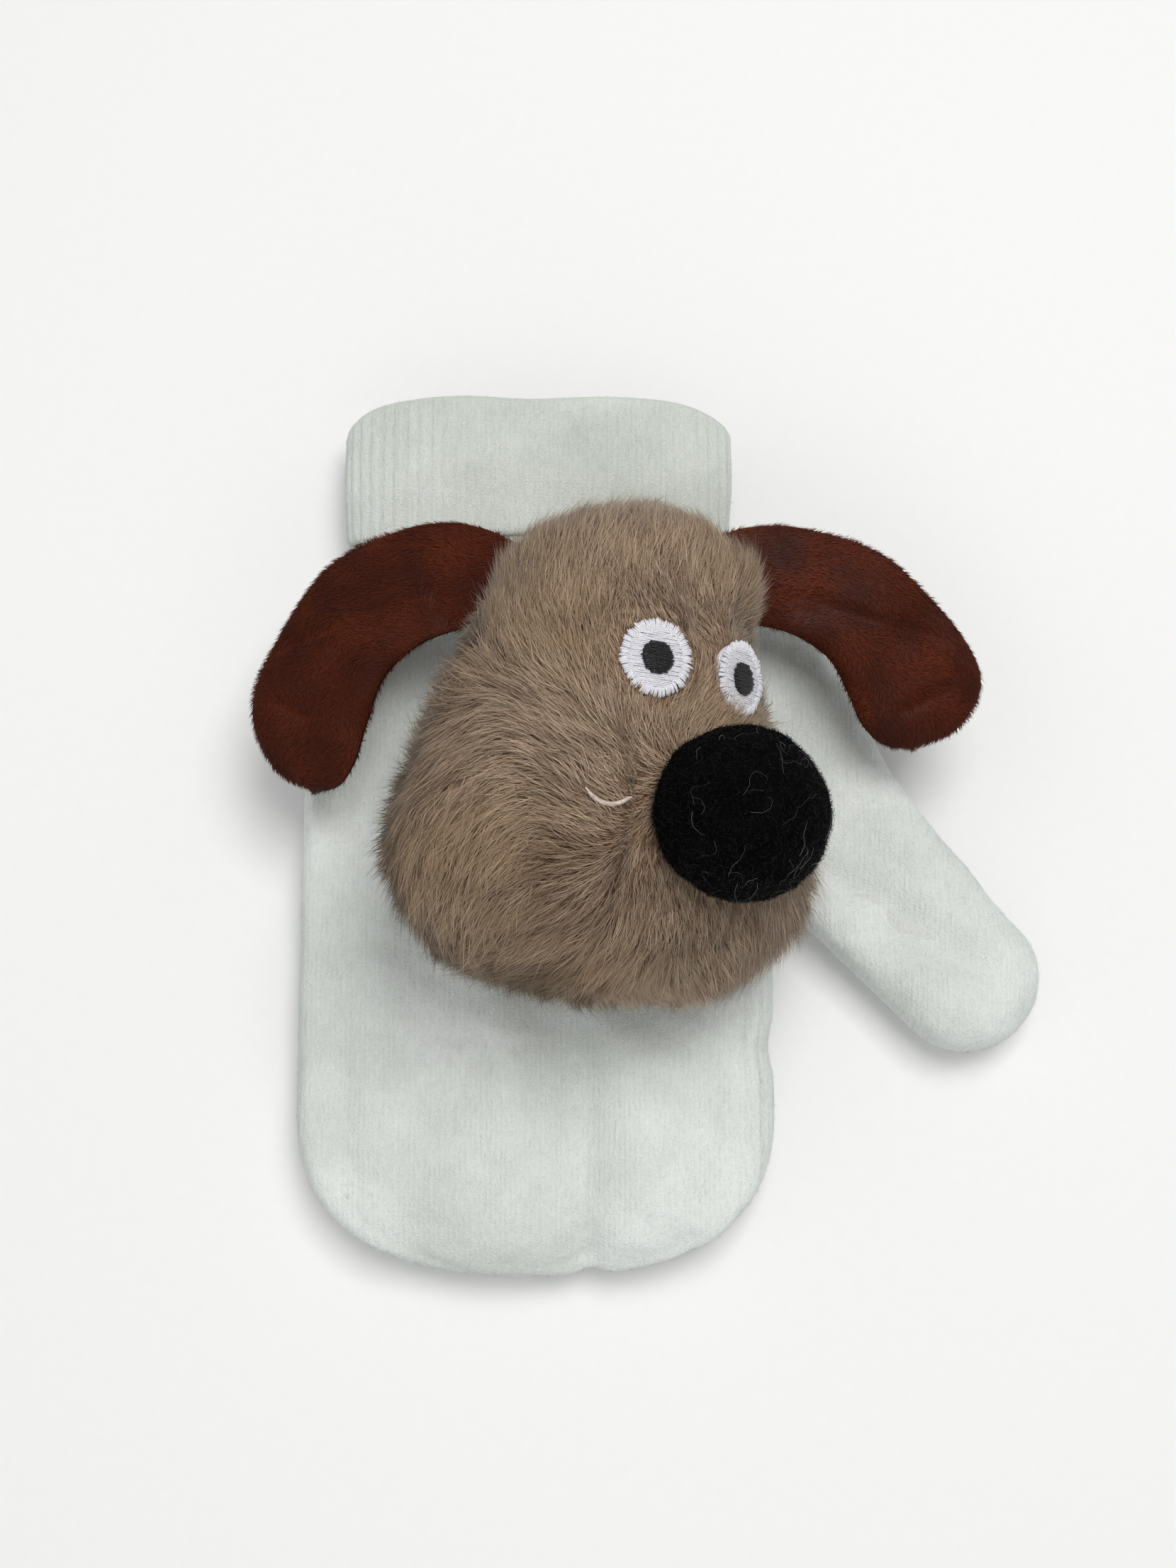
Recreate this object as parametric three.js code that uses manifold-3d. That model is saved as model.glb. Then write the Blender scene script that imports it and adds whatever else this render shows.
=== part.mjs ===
// A mitten hand puppet: a fleecy knitted mitten with a turned-up ribbed cuff, and a stuffed plush
// dog's head sewn on the back of the hand. Millimetres, +Z up. The mitten lies palm down on z = 0,
// its fingertips towards -Y, its cuff towards +Y and its thumb towards +X.

import * as THREE from 'three';
import { mergeVertices } from 'three/addons/utils/BufferGeometryUtils.js';
import Module from 'manifold-3d';

const wasm = await Module();
wasm.setup();

// ---------------------------------------------------------------- driving dimensions

const gap = 0.3;                 // clear space between pieces that touch

// mitten
const handWidth = 108;
const mittenLength = 202;        // fingertip to the cuff's turned edge
const mittenThickness = 24;      // as it lies, slightly filled out
const edgeRoll = 9;              // how far in from the side the rounded edge reaches
const clothWall = 2.4;           // fleecy outer knit
const liningWall = 1.2;
const seamHeight = 1.2;          // the rolled seam between the back and palm panels
const fingerRound = 38;          // length of the rounded fingertip end
const fingerSquareness = 2.5;    // 2 is an ellipse
const knuckleLine = 71;          // fingertip to the crease where the fingers fold
const crotchLine = 76.5;         // fingertip to the fork between thumb and hand
const wristWidth = 87;

// thumb
const thumbReach = 45.5;         // thumb tip centre, sideways from the hand's edge
const thumbDrop = 10;            // thumb tip centre, below the fork
const thumbTipRadius = 15.3;
const shoulderDrop = 21.5;       // cuff to the top of the thumb's root
const thumbFoldInset = 5;        // the thumb's fold line, outside the hand's edge

// folds: the axis height above the table and the opening either side of it
const foldHeight = 6;
const foldClear = 0.5;           // half the slit along the axis
const curlRoom = 62;             // degrees the palm side can close
const bendBackRoom = 17;         // degrees the back of the hand can close

// cuff
const cuffWidth = 92;
const cuffDepth = 31;
const cuffThickness = 25.5;
const cuffWall = 2.2;
const cuffPlyGap = 0.6;          // between the turned-up ply and the ply beneath it
const joinSeam = 1.0;            // ridge that joins cuff and hand

// head, in its own frame: +Y to the crown, +Z out of the face
const headPlace = new THREE.Vector2(13.5, 88);
const headLift = 30;             // jowl centre above the mitten's back
const headTurn = THREE.MathUtils.degToRad(38);
const headTilt = THREE.MathUtils.degToRad(4);
const jowlWidth = 95;
const crownWidth = 58;
const crownHeight = 77;          // jowl centre to crown
const chinDrop = 30;             // jowl centre to chin
const jowlDepthRatio = 0.66;
const crownDepthRatio = 0.92;
const plushWall = 2.5;
const gussetWidth = 27;
const backSeamDepth = 8;         // side seams, behind the widest line
const seatGap = 3;               // stitches that hold the head off the mitten
const seatSlope = Math.tan(THREE.MathUtils.degToRad(14));
const seatPlace = new THREE.Vector2(17, 102);
const stitchRingRadius = 9;
const stitchRingWidth = 3;
const stitchRingHeight = 1.4;

// nose, eyes and mouth
const noseRadius = 18.4;
const noseStand = 9.7;           // nose centre, out from the face
const noseUp = 3;
const anchorRadius = 2;          // bundle of thread through the nose
const anchorDepth = 9;
const eyeRadius = 7.7;
const eyeSpread = 11;
const eyeUp = 37;
const eyeThickness = 1.6;
const pupilRadius = 3.4;
const pupilThickness = 0.8;
const mouthClear = 2.1;          // mouth stitches, beyond the side of the nose
const mouthUp = 6;
const mouthLength = 9;
const mouthThread = 0.9;

// ears
const earLength = 60;
const earRootWidth = 22;
const earLobeWidth = 27;
const earHang = 45;              // how far the lobe hangs below the root's middle
const earPly = 2.6;
const earRootThread = 1.0;
const earClear = 0.5;            // root stitches to the side of the head
const leftEar = { along: 149, lift: 28, droop: 20 };   // root: place along Y, height above the mitten
const rightEar = { along: 151, lift: 17, droop: 3 };

// ---------------------------------------------------------------- materials

const cloth = (color) => new THREE.MeshStandardMaterial({ color, roughness: 0.95, metalness: 0 });
const fleece = cloth(0xe3e7e2);
const lining = cloth(0xdfe2dd);
const rib = cloth(0xe8ebe7);
const thread = cloth(0xd9dcd6);
const tanPlush = cloth(0xa08468);
const backCloth = cloth(0x9a7f65);
const fibrefill = cloth(0xf2f2f0);
const brownPlush = cloth(0x5c2c1e);
const blackFelt = cloth(0x141416);
const eyeThread = cloth(0xe6e4ea);
const pupilThread = cloth(0x0c0c0e);
const tanThread = cloth(0x8d745c);
const mouthThreadWhite = cloth(0xd9c9c0);

// ---------------------------------------------------------------- solids

function solid(geometry) {
  const bare = geometry.clone();
  bare.deleteAttribute('normal');
  bare.deleteAttribute('uv');
  const merged = mergeVertices(bare, 1e-4);
  const mesh = new wasm.Mesh({
    numProp: 3,
    vertProperties: new Float32Array(merged.attributes.position.array),
    triVerts: new Uint32Array(merged.index.array),
  });
  return new wasm.Manifold(mesh);
}

function geometryOf(shape) {
  const mesh = shape.getMesh();
  const geometry = new THREE.BufferGeometry();
  geometry.setAttribute('position', new THREE.BufferAttribute(mesh.vertProperties, 3));
  geometry.setIndex(new THREE.BufferAttribute(mesh.triVerts, 1));
  geometry.computeVertexNormals();
  return geometry;
}

function box(low, high) {
  const size = high.map((value, axis) => value - low[axis]);
  const geometry = new THREE.BoxGeometry(...size);
  geometry.translate(...low.map((value, axis) => value + size[axis] / 2));
  return solid(geometry);
}

function node(name, shape, material, parent) {
  const mesh = new THREE.Mesh(geometryOf(shape), material);
  mesh.name = name;
  parent.add(mesh);
}

// ---------------------------------------------------------------- mitten

const halfHand = handWidth / 2;
const halfWrist = wristWidth / 2;
const wristLine = mittenLength - cuffDepth;
const shoulder = wristLine - shoulderDrop;
const farAway = 400;

function fingerEnd(samples = 14) {
  const points = [];
  for (let i = 0; i <= samples; i += 1) {
    const angle = Math.PI + (Math.PI * i) / samples;
    const across = Math.cos(angle);
    const along = Math.sin(angle);
    const power = 2 / fingerSquareness;
    points.push(new THREE.Vector2(
      halfHand * Math.sign(across) * Math.abs(across) ** power,
      fingerRound * (1 - Math.abs(along) ** power),
    ));
  }
  return points;
}

function thumbSide() {
  const tip = new THREE.Vector2(halfHand + thumbReach, crotchLine - thumbDrop);
  const at = (dx, dy) => new THREE.Vector2(tip.x + dx, tip.y + dy);
  const r = thumbTipRadius;
  const curve = new THREE.SplineCurve([
    new THREE.Vector2(halfHand, crotchLine - 12),
    new THREE.Vector2(halfHand + 2.5, crotchLine - 3),
    new THREE.Vector2(halfHand + 8, crotchLine + 0.5),
    new THREE.Vector2(halfHand + 17, crotchLine - 6),
    at(-0.95 * r, -0.7 * r),
    at(-0.1 * r, -r),
    at(0.72 * r, -0.7 * r),
    at(r, 0),
    at(0.4 * r, 1.05 * r),
    new THREE.Vector2(halfHand + 0.62 * thumbReach, (crotchLine + shoulder) / 2),
    new THREE.Vector2(halfHand + 10, shoulder),
    new THREE.Vector2(halfWrist + 3, wristLine - 9),
  ]);
  return curve.getSpacedPoints(28);
}

// The mitten's outline, running on past the wrist so that the wrist can be cut open.
function mittenOutline() {
  const past = mittenLength + 40;
  const left = new THREE.SplineCurve([
    new THREE.Vector2(-halfWrist, wristLine),
    new THREE.Vector2(-halfWrist - 5, wristLine - 14),
    new THREE.Vector2(-halfHand, wristLine - 42),
  ]);
  return [
    new THREE.Vector2(-halfWrist, past),
    ...left.getPoints(5),
    ...fingerEnd(),
    ...thumbSide(),
    new THREE.Vector2(halfWrist, wristLine),
    new THREE.Vector2(halfWrist, past),
  ];
}

// A flat outline filled out like a cushion, drawn in by a wall all round.
function cushion(outline, thickness, wall, segments) {
  const half = thickness / 2 - wall;
  const geometry = new THREE.ExtrudeGeometry(new THREE.Shape(outline), {
    depth: 1,
    bevelThickness: half - 0.5,
    bevelSize: edgeRoll - wall / 2,
    bevelOffset: wall / 2 - edgeRoll - wall,
    bevelSegments: segments,
    steps: 1,
  });
  geometry.translate(0, 0, thickness / 2 - 0.5);
  return solid(geometry);
}

// A wedge that opens away from a fold's axis, above and below it. Across is the axis's direction.
function foldCut(place, across) {
  const down = Math.tan(THREE.MathUtils.degToRad(curlRoom / 2)) * (foldHeight + 5);
  const rise = mittenThickness + 5 - foldHeight;
  const up = Math.tan(THREE.MathUtils.degToRad(bendBackRoom / 2)) * rise;
  const shape = new THREE.Shape([
    new THREE.Vector2(-foldClear, 0),
    new THREE.Vector2(-foldClear - down, -foldHeight - 5),
    new THREE.Vector2(foldClear + down, -foldHeight - 5),
    new THREE.Vector2(foldClear, 0),
    new THREE.Vector2(foldClear + up, rise),
    new THREE.Vector2(-foldClear - up, rise),
  ]);
  const geometry = new THREE.ExtrudeGeometry(shape, { depth: farAway, bevelEnabled: false });
  geometry.translate(0, 0, -farAway / 2);
  if (across === 'x') {
    geometry.applyMatrix4(new THREE.Matrix4().makeBasis(
      new THREE.Vector3(0, 1, 0), new THREE.Vector3(0, 0, 1), new THREE.Vector3(1, 0, 0),
    ));
    geometry.translate(0, place, foldHeight);
  } else {
    geometry.applyMatrix4(new THREE.Matrix4().makeBasis(
      new THREE.Vector3(1, 0, 0), new THREE.Vector3(0, 0, 1), new THREE.Vector3(0, -1, 0),
    ));
    geometry.translate(place, 0, foldHeight);
  }
  return solid(geometry);
}

function addMitten(group) {
  const outline = mittenOutline();
  const thumbFold = halfHand + thumbFoldInset;
  const middle = mittenThickness / 2;
  const clothInside = cushion(outline, mittenThickness, clothWall, 3);
  const clothShell = cushion(outline, mittenThickness, 0, 3).subtract(clothInside);
  const liningOut = cushion(outline, mittenThickness, clothWall + gap, 2);
  const liningIn = cushion(outline, mittenThickness, clothWall + gap + liningWall, 2);
  const liningShell = liningOut.subtract(liningIn);

  const handEnd = wristLine - joinSeam - 2 * gap;
  const fingerCut = foldCut(knuckleLine, 'x');
  const thumbCut = foldCut(thumbFold, 'y');
  const fingerZone = box([-farAway, -farAway, -1], [thumbFold, knuckleLine, farAway]);
  const thumbZone = box([thumbFold, -farAway, -1], [farAway, handEnd, farAway]);
  const handZone = box([-farAway, knuckleLine, -1], [thumbFold, handEnd, farAway]);
  const zones = {
    hand: handZone.subtract(fingerCut).subtract(thumbCut),
    finger: fingerZone.subtract(fingerCut),
    thumb: thumbZone.subtract(thumbCut),
  };
  const flat = [farAway, farAway];
  const upper = box([-farAway, -farAway, middle + seamHeight / 2 + gap], [...flat, farAway]);
  const lower = box([-farAway, -farAway, -1], [...flat, middle - seamHeight / 2 - gap]);
  const between = box(
    [-farAway, -farAway, middle - seamHeight / 2],
    [...flat, middle + seamHeight / 2],
  );
  for (const [name, zone] of Object.entries(zones)) {
    const shell = clothShell.intersect(zone);
    node(`${name}_back_panel`, shell.intersect(upper), fleece, group);
    node(`${name}_palm_panel`, shell.intersect(lower), fleece, group);
    node(`${name}_lining`, liningShell.intersect(zone), lining, group);
    const seam = shell.intersect(between);
    if (name === 'hand') {
      const outerSide = box([-farAway, -farAway, -1], [0, farAway, farAway]);
      const nearFork = box([0, -farAway, -1], [farAway, (crotchLine + shoulder) / 2, farAway]);
      node('outer_side_seam', seam.intersect(outerSide), thread, group);
      node('thumb_side_seam', seam.subtract(outerSide).subtract(nearFork), thread, group);
      node('fork_seam', seam.intersect(nearFork), thread, group);
    } else {
      node(`${name}_edge_seam`, seam, thread, group);
    }
  }
  const ridge = box([-farAway, handEnd + gap, -1], [farAway, wristLine - gap, farAway]);
  node('cuff_join_seam', clothShell.intersect(ridge), thread, group);
}

// A flat tube along Y with rounded sides, cut to a length.
function flatTube(width, thickness, from, to) {
  const half = thickness / 2 - 0.5;
  const geometry = new THREE.ExtrudeGeometry(new THREE.Shape([
    new THREE.Vector2(-width / 2, from - 40),
    new THREE.Vector2(width / 2, from - 40),
    new THREE.Vector2(width / 2, to + 40),
    new THREE.Vector2(-width / 2, to + 40),
  ]), {
    depth: 1, bevelThickness: half, bevelSize: half, bevelOffset: -half, bevelSegments: 4, steps: 1,
  });
  geometry.translate(0, 0, -0.5 + cuffThickness / 2);
  return solid(geometry).intersect(box([-farAway, from, -farAway], [farAway, to, farAway]));
}

// One knitted tube turned back over itself: two plies joined by the fold at the top.
function addCuff(group) {
  const ply = (walls, gaps, from, to) => {
    const inset = 2 * (walls * cuffWall + gaps * cuffPlyGap);
    return flatTube(cuffWidth - inset, cuffThickness - inset, from, to);
  };
  const bottom = wristLine;
  const slotOut = ply(1, 0, bottom - 1, mittenLength - cuffWall);
  const slotIn = ply(1, 1, bottom - 2, mittenLength);
  const slot = slotOut.subtract(slotIn);
  const cuff = ply(0, 0, bottom, mittenLength).subtract(ply(2, 1, bottom - 1, mittenLength + 1));
  node('ribbed_cuff', cuff.subtract(slot), rib, group);
}

// ---------------------------------------------------------------- head

const headZ = mittenThickness + headLift;

// Half-width against height, from chin to crown, drawn in by a wall.
function headProfile(inset) {
  const jowl = jowlWidth / 2;
  const crown = crownWidth / 2;
  const curve = new THREE.SplineCurve([
    new THREE.Vector2(0, -chinDrop),
    new THREE.Vector2(0.64 * jowl, -0.83 * chinDrop),
    new THREE.Vector2(0.96 * jowl, -0.33 * chinDrop),
    new THREE.Vector2(jowl, 0.1 * crownHeight),
    new THREE.Vector2(0.83 * jowl, 0.36 * crownHeight),
    new THREE.Vector2(1.03 * crown, 0.6 * crownHeight),
    new THREE.Vector2(0.8 * crown, 0.85 * crownHeight),
    new THREE.Vector2(0, crownHeight),
  ]);
  const points = curve.getPoints(20);
  return points.map((point, i) => {
    const along = points[Math.min(i + 1, points.length - 1)].clone()
      .sub(points[Math.max(i - 1, 0)]).normalize();
    const onAxis = i === 0 || i === points.length - 1;
    const x = onAxis ? 0 : Math.max(point.x - inset * along.y, 0.05);
    const outward = i === 0 ? -1 : 1;
    const y = onAxis ? point.y - outward * inset : point.y + inset * along.x;
    return new THREE.Vector2(x, y);
  });
}

// Front-to-back depth as a share of the width, from jowl to crown.
function depthRatio(height) {
  const rise = THREE.MathUtils.smoothstep(height, 0, 0.75 * crownHeight);
  return THREE.MathUtils.lerp(jowlDepthRatio, crownDepthRatio, rise);
}

function headForm(inset) {
  const geometry = new THREE.LatheGeometry(headProfile(inset), 36);
  const position = geometry.attributes.position;
  for (let i = 0; i < position.count; i += 1) {
    position.setZ(i, position.getZ(i) * depthRatio(position.getY(i)));
  }
  return solid(geometry);
}

// The shallow cone that the head's underside takes where it rests, point down on the stitches.
function seatCone(lift, intoHead) {
  const reach = 120;
  const geometry = new THREE.LatheGeometry([
    new THREE.Vector2(0, 0),
    new THREE.Vector2(reach, reach * seatSlope),
    new THREE.Vector2(reach, 2 * reach),
    new THREE.Vector2(0, 2 * reach),
  ], 36);
  geometry.rotateX(Math.PI / 2);
  geometry.translate(seatPlace.x, seatPlace.y, mittenThickness + seatGap + lift);
  geometry.applyMatrix4(intoHead);
  return solid(geometry);
}

// The head's half-width and half-depth at a height.
function headSection(up) {
  const profile = headProfile(0);
  let width = 0;
  for (let i = 1; i < profile.length; i += 1) {
    const [a, b] = [profile[i - 1], profile[i]];
    if (a.y <= up && up <= b.y) width = THREE.MathUtils.mapLinear(up, a.y, b.y, a.x, b.x);
  }
  return { width, depth: width * depthRatio(up) };
}

// A point on the face and the surface's normal there.
function placeOnFace(across, up) {
  const { width, depth } = headSection(up);
  const out = depth * Math.sqrt(1 - (across / width) ** 2);
  return {
    point: new THREE.Vector3(across, up, out),
    normal: new THREE.Vector3(across / width ** 2, 0, out / depth ** 2).normalize(),
  };
}

// How far out along X the side of the placed head is, found by halving.
function headSide(sign, along, height, intoHead) {
  let [inside, outside] = [0, jowlWidth];
  for (let step = 0; step < 30; step += 1) {
    const reach = (inside + outside) / 2;
    const point = new THREE.Vector3(headPlace.x + sign * reach, along, height);
    point.applyMatrix4(intoHead);
    const { width, depth } = headSection(point.y);
    if ((point.x / width) ** 2 + (point.z / depth) ** 2 < 1) inside = reach;
    else outside = reach;
  }
  return headPlace.x + sign * inside;
}

// A disc whose flat back follows the face, set along the face's normal.
function patch(spot, radius, low, high, clearOf) {
  const geometry = new THREE.CylinderGeometry(radius, radius, high - low, 24);
  geometry.rotateX(Math.PI / 2);
  geometry.translate(0, 0, (high + low) / 2);
  const turn = new THREE.Quaternion().setFromUnitVectors(new THREE.Vector3(0, 0, 1), spot.normal);
  geometry.applyQuaternion(turn);
  geometry.translate(...spot.point.toArray());
  return solid(geometry).subtract(clearOf);
}

function addFace(head, skinClear) {
  for (const [side, sign] of [['left', -1], ['right', 1]]) {
    const spot = placeOnFace(sign * eyeSpread, eyeUp);
    const white = patch(spot, eyeRadius, -3, eyeThickness, skinClear);
    const front = eyeThickness + gap;
    const pupil = patch(spot, pupilRadius, front, front + pupilThickness, skinClear);
    node(`${side}_eye_white`, white, eyeThread, head);
    node(`${side}_pupil`, pupil, pupilThread, head);

    const mouthMiddle = noseRadius + mouthClear;
    const middle = placeOnFace(sign * mouthMiddle, mouthUp);
    const ends = [-0.5, 0, 0.5].map((share) => {
      const along = placeOnFace(sign * (mouthMiddle + share * mouthLength), mouthUp);
      const lift = share * share * 6;
      return along.point.addScaledVector(middle.normal, mouthThread + gap).setY(mouthUp + lift);
    });
    const section = new THREE.Shape();
    section.absarc(0, 0, mouthThread, 0, 2 * Math.PI, false);
    const bar = new THREE.ExtrudeGeometry(section, {
      steps: 6, curveSegments: 3, extrudePath: new THREE.CatmullRomCurve3(ends),
    });
    node(`${side}_mouth_stitch`, solid(bar).subtract(skinClear), mouthThreadWhite, head);
  }
}

function addNose(head, skinClear) {
  const ball = new THREE.SphereGeometry(noseRadius, 24, 16);
  ball.scale(1, 0.96, 0.92);
  const { point } = placeOnFace(0, noseUp);
  ball.translate(0, noseUp, point.z + noseStand);
  const anchor = (radius, extra) => {
    const length = 2 * anchorDepth + extra;
    const geometry = new THREE.CylinderGeometry(radius, radius, length, 10);
    geometry.rotateX(Math.PI / 2);
    geometry.translate(0, noseUp, point.z);
    return solid(geometry);
  };
  const hole = anchor(anchorRadius + gap, 2 * gap);
  node('felt_nose', solid(ball).subtract(skinClear).subtract(hole), blackFelt, head);
  node('nose_thread', anchor(anchorRadius, 0), tanThread, head);
  return hole;
}

function addHead(group) {
  const head = new THREE.Group();
  head.position.set(headPlace.x, headPlace.y, headZ);
  head.rotation.set(0, headTurn, -headTilt, 'ZYX');
  head.updateMatrixWorld();
  group.add(head);
  const intoHead = head.matrixWorld.clone().invert();

  const skinClear = headForm(-gap);
  const noseHole = addNose(head, skinClear);
  addFace(head, skinClear);

  const outer = headForm(0).intersect(seatCone(0, intoHead));
  const inner = headForm(plushWall).intersect(seatCone(plushWall, intoHead));
  const core = headForm(plushWall + gap).intersect(seatCone(plushWall + gap, intoHead));
  const shell = outer.subtract(inner).subtract(noseHole);
  const half = gussetWidth / 2;
  const behind = box([-200, -200, -200], [200, 200, -backSeamDepth]);
  const front = box([-200, -200, gap - backSeamDepth], [200, 200, 200]);
  const middle = box([-half, -200, -200], [half, 200, 200]);
  const left = box([-200, -200, -200], [-half - gap, 200, 200]);
  const right = box([half + gap, -200, -200], [200, 200, 200]);
  node('head_back_panel', shell.intersect(behind), backCloth, head);
  node('face_gusset', shell.intersect(front).intersect(middle), tanPlush, head);
  node('left_cheek_panel', shell.intersect(front).intersect(left), tanPlush, head);
  node('right_cheek_panel', shell.intersect(front).intersect(right), tanPlush, head);
  node('head_stuffing', core.subtract(noseHole), fibrefill, head);

  const ring = new THREE.LatheGeometry([
    new THREE.Vector2(stitchRingRadius - stitchRingWidth / 2, 0),
    new THREE.Vector2(stitchRingRadius + stitchRingWidth / 2, 0),
    new THREE.Vector2(stitchRingRadius + stitchRingWidth / 2, stitchRingHeight),
    new THREE.Vector2(stitchRingRadius - stitchRingWidth / 2, stitchRingHeight),
    new THREE.Vector2(stitchRingRadius - stitchRingWidth / 2, 0),
  ], 28);
  ring.rotateX(Math.PI / 2);
  ring.translate(seatPlace.x, seatPlace.y, mittenThickness + gap);
  node('head_stitch_ring', solid(ring), tanThread, group);
  return intoHead;
}

// ---------------------------------------------------------------- ears

// The ear's outline, from the root out and round to the hanging lobe.
function earOutline() {
  const root = earRootWidth / 2;
  const tipX = 0.71 * earLength;
  const half = earLobeWidth / 2;
  const curve = new THREE.SplineCurve([
    new THREE.Vector2(1.5 * earRootThread + gap, root),
    new THREE.Vector2(0.3 * earLength, root + 2),
    new THREE.Vector2(0.62 * earLength, 0.45 * root),
    new THREE.Vector2(0.9 * earLength, -0.3 * earHang),
    new THREE.Vector2(earLength, -0.62 * earHang),
    new THREE.Vector2(tipX + 0.72 * half, -0.92 * earHang),
    new THREE.Vector2(tipX, -earHang),
    new THREE.Vector2(tipX - 0.85 * half, -0.85 * earHang),
    new THREE.Vector2(0.45 * earLength, -0.5 * earHang),
    new THREE.Vector2(0.27 * earLength, -0.33 * earHang),
    new THREE.Vector2(1.5 * earRootThread + gap, -root),
  ]);
  return curve.getPoints(26);
}

function addEar(side, sign, { along, lift, droop }, intoHead, group) {
  const height = mittenThickness + lift;
  const lowEnd = along - earRootWidth / 2;
  const headEdge = headSide(sign, lowEnd, height, intoHead);
  const ear = new THREE.Group();
  ear.position.set(headEdge + sign * (earRootThread + earClear), along, height);
  ear.rotation.set(0, sign * THREE.MathUtils.degToRad(droop), 0);
  group.add(ear);
  const outline = earOutline().map((point) => new THREE.Vector2(sign * point.x, point.y));
  if (sign < 0) outline.reverse();
  const ply = (low) => {
    const geometry = new THREE.ExtrudeGeometry(new THREE.Shape(outline), {
      depth: earPly, bevelEnabled: false,
    });
    geometry.translate(0, 0, low);
    return solid(geometry);
  };
  node(`${side}_ear_front_plush`, ply(gap / 2), brownPlush, ear);
  node(`${side}_ear_back_plush`, ply(-earPly - gap / 2), brownPlush, ear);

  const root = new THREE.CylinderGeometry(earRootThread, earRootThread, earRootWidth, 10);
  node(`${side}_ear_root_stitches`, solid(root), tanThread, ear);
}

// ---------------------------------------------------------------- assembly

const puppet = new THREE.Group();
const pieces = new THREE.Group();
puppet.add(pieces);
addMitten(pieces);
addCuff(pieces);
const intoHead = addHead(pieces);
addEar('left', -1, leftEar, intoHead, pieces);
addEar('right', 1, rightEar, intoHead, pieces);

// The origin is under the middle of the whole object, on the surface it lies on.
const bounds = new THREE.Box3().setFromObject(pieces, true);
const centre = bounds.getCenter(new THREE.Vector3());
pieces.position.set(-centre.x, -centre.y, -bounds.min.z);

export default puppet;
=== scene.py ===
# %% [markdown]
# # A mitten hand puppet with a plush dog's head
# The real toy is a fleecy knitted mitten, a ribbed cuff turned back over itself, and a stuffed
# head of long-pile plush with velvet ears, sewn on the back of the hand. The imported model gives
# the sizes and the moving bodies. Everything soft is made again here as curved surfaces.

# %% Load the fixed frame
import math

import bmesh
import bpy
import numpy as np
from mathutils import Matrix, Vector


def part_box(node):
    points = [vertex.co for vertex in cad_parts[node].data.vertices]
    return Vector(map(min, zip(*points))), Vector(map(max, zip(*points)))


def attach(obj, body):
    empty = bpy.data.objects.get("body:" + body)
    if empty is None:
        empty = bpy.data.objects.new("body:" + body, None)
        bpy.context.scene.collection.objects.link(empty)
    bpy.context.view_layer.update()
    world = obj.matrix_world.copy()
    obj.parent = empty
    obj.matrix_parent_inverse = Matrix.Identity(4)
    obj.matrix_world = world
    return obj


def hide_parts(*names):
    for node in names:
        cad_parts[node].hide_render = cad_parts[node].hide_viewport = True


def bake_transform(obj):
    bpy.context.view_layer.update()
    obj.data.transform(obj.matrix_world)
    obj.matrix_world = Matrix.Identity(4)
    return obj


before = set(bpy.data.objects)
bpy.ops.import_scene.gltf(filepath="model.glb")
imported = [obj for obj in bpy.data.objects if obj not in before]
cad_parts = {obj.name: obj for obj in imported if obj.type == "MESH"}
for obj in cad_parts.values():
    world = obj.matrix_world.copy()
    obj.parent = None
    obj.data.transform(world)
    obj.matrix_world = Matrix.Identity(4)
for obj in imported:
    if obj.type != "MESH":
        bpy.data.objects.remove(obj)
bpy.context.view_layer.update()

# %% [markdown]
# Shapes are easiest to think about in millimetres from the middle of the hand (x), from the
# fingertips towards the cuff (y) and from the table (z). The cuff's box says where that is.

# %% Millimetres on the mitten
MM = 0.001
CUFF_LOW, CUFF_HIGH = (np.array(corner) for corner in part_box("ribbed_cuff"))
MITTEN_LENGTH = 202.0
HAND_ORIGIN = np.array([(CUFF_LOW[0] + CUFF_HIGH[0]) / 2, CUFF_HIGH[1] - MITTEN_LENGTH * MM, 0])


def placed(points):
    """Millimetres on the mitten, turned into metres in the frame."""
    return np.asarray(points, float) * MM + HAND_ORIGIN


print("hand origin", HAND_ORIGIN.round(4))

# %% [markdown]
# The camera comes first. It looks almost straight down on the back of the hand, from the
# fingertips' side, with a lens that is a little longer than normal.

# %% Camera
CAMERA_DISTANCE = 480.0
CAMERA_LIFT = math.radians(80)
AIM = np.array([11.8, 111.5, 12.0])
camera_data = bpy.data.cameras.new("camera")
camera_data.sensor_fit = "VERTICAL"
camera_data.sensor_height = 36
camera_data.lens = 47.5
camera_data.clip_start = 0.01
camera_data.clip_end = 20
camera = bpy.data.objects.new("camera", camera_data)
bpy.context.collection.objects.link(camera)
back_off = np.array([0, -math.cos(CAMERA_LIFT), math.sin(CAMERA_LIFT)]) * CAMERA_DISTANCE
camera.location = placed(AIM + back_off)
camera.rotation_euler = (math.pi / 2 - CAMERA_LIFT, 0, 0)
bpy.context.scene.camera = camera
print("camera at", [round(v, 3) for v in camera.location])

# %% [markdown]
# A pale floor and three soft lamps. The large lamp stands above and to the right of the hand, so
# the chin and the ears throw a soft shade to the lower left, and a low world light fills it.

# %% Stage and light
def soft_lamp(name, place, aim, size, watts, colour):
    """A square lamp that points from one place to another, both in millimetres."""
    data = bpy.data.lights.new(name, "AREA")
    data.size = size
    data.energy = watts
    data.color = colour
    lamp = bpy.data.objects.new(name, data)
    bpy.context.collection.objects.link(lamp)
    lamp.location = placed(place)
    towards = Vector(placed(aim)) - lamp.location
    lamp.rotation_euler = towards.to_track_quat("-Z", "Y").to_euler()


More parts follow.
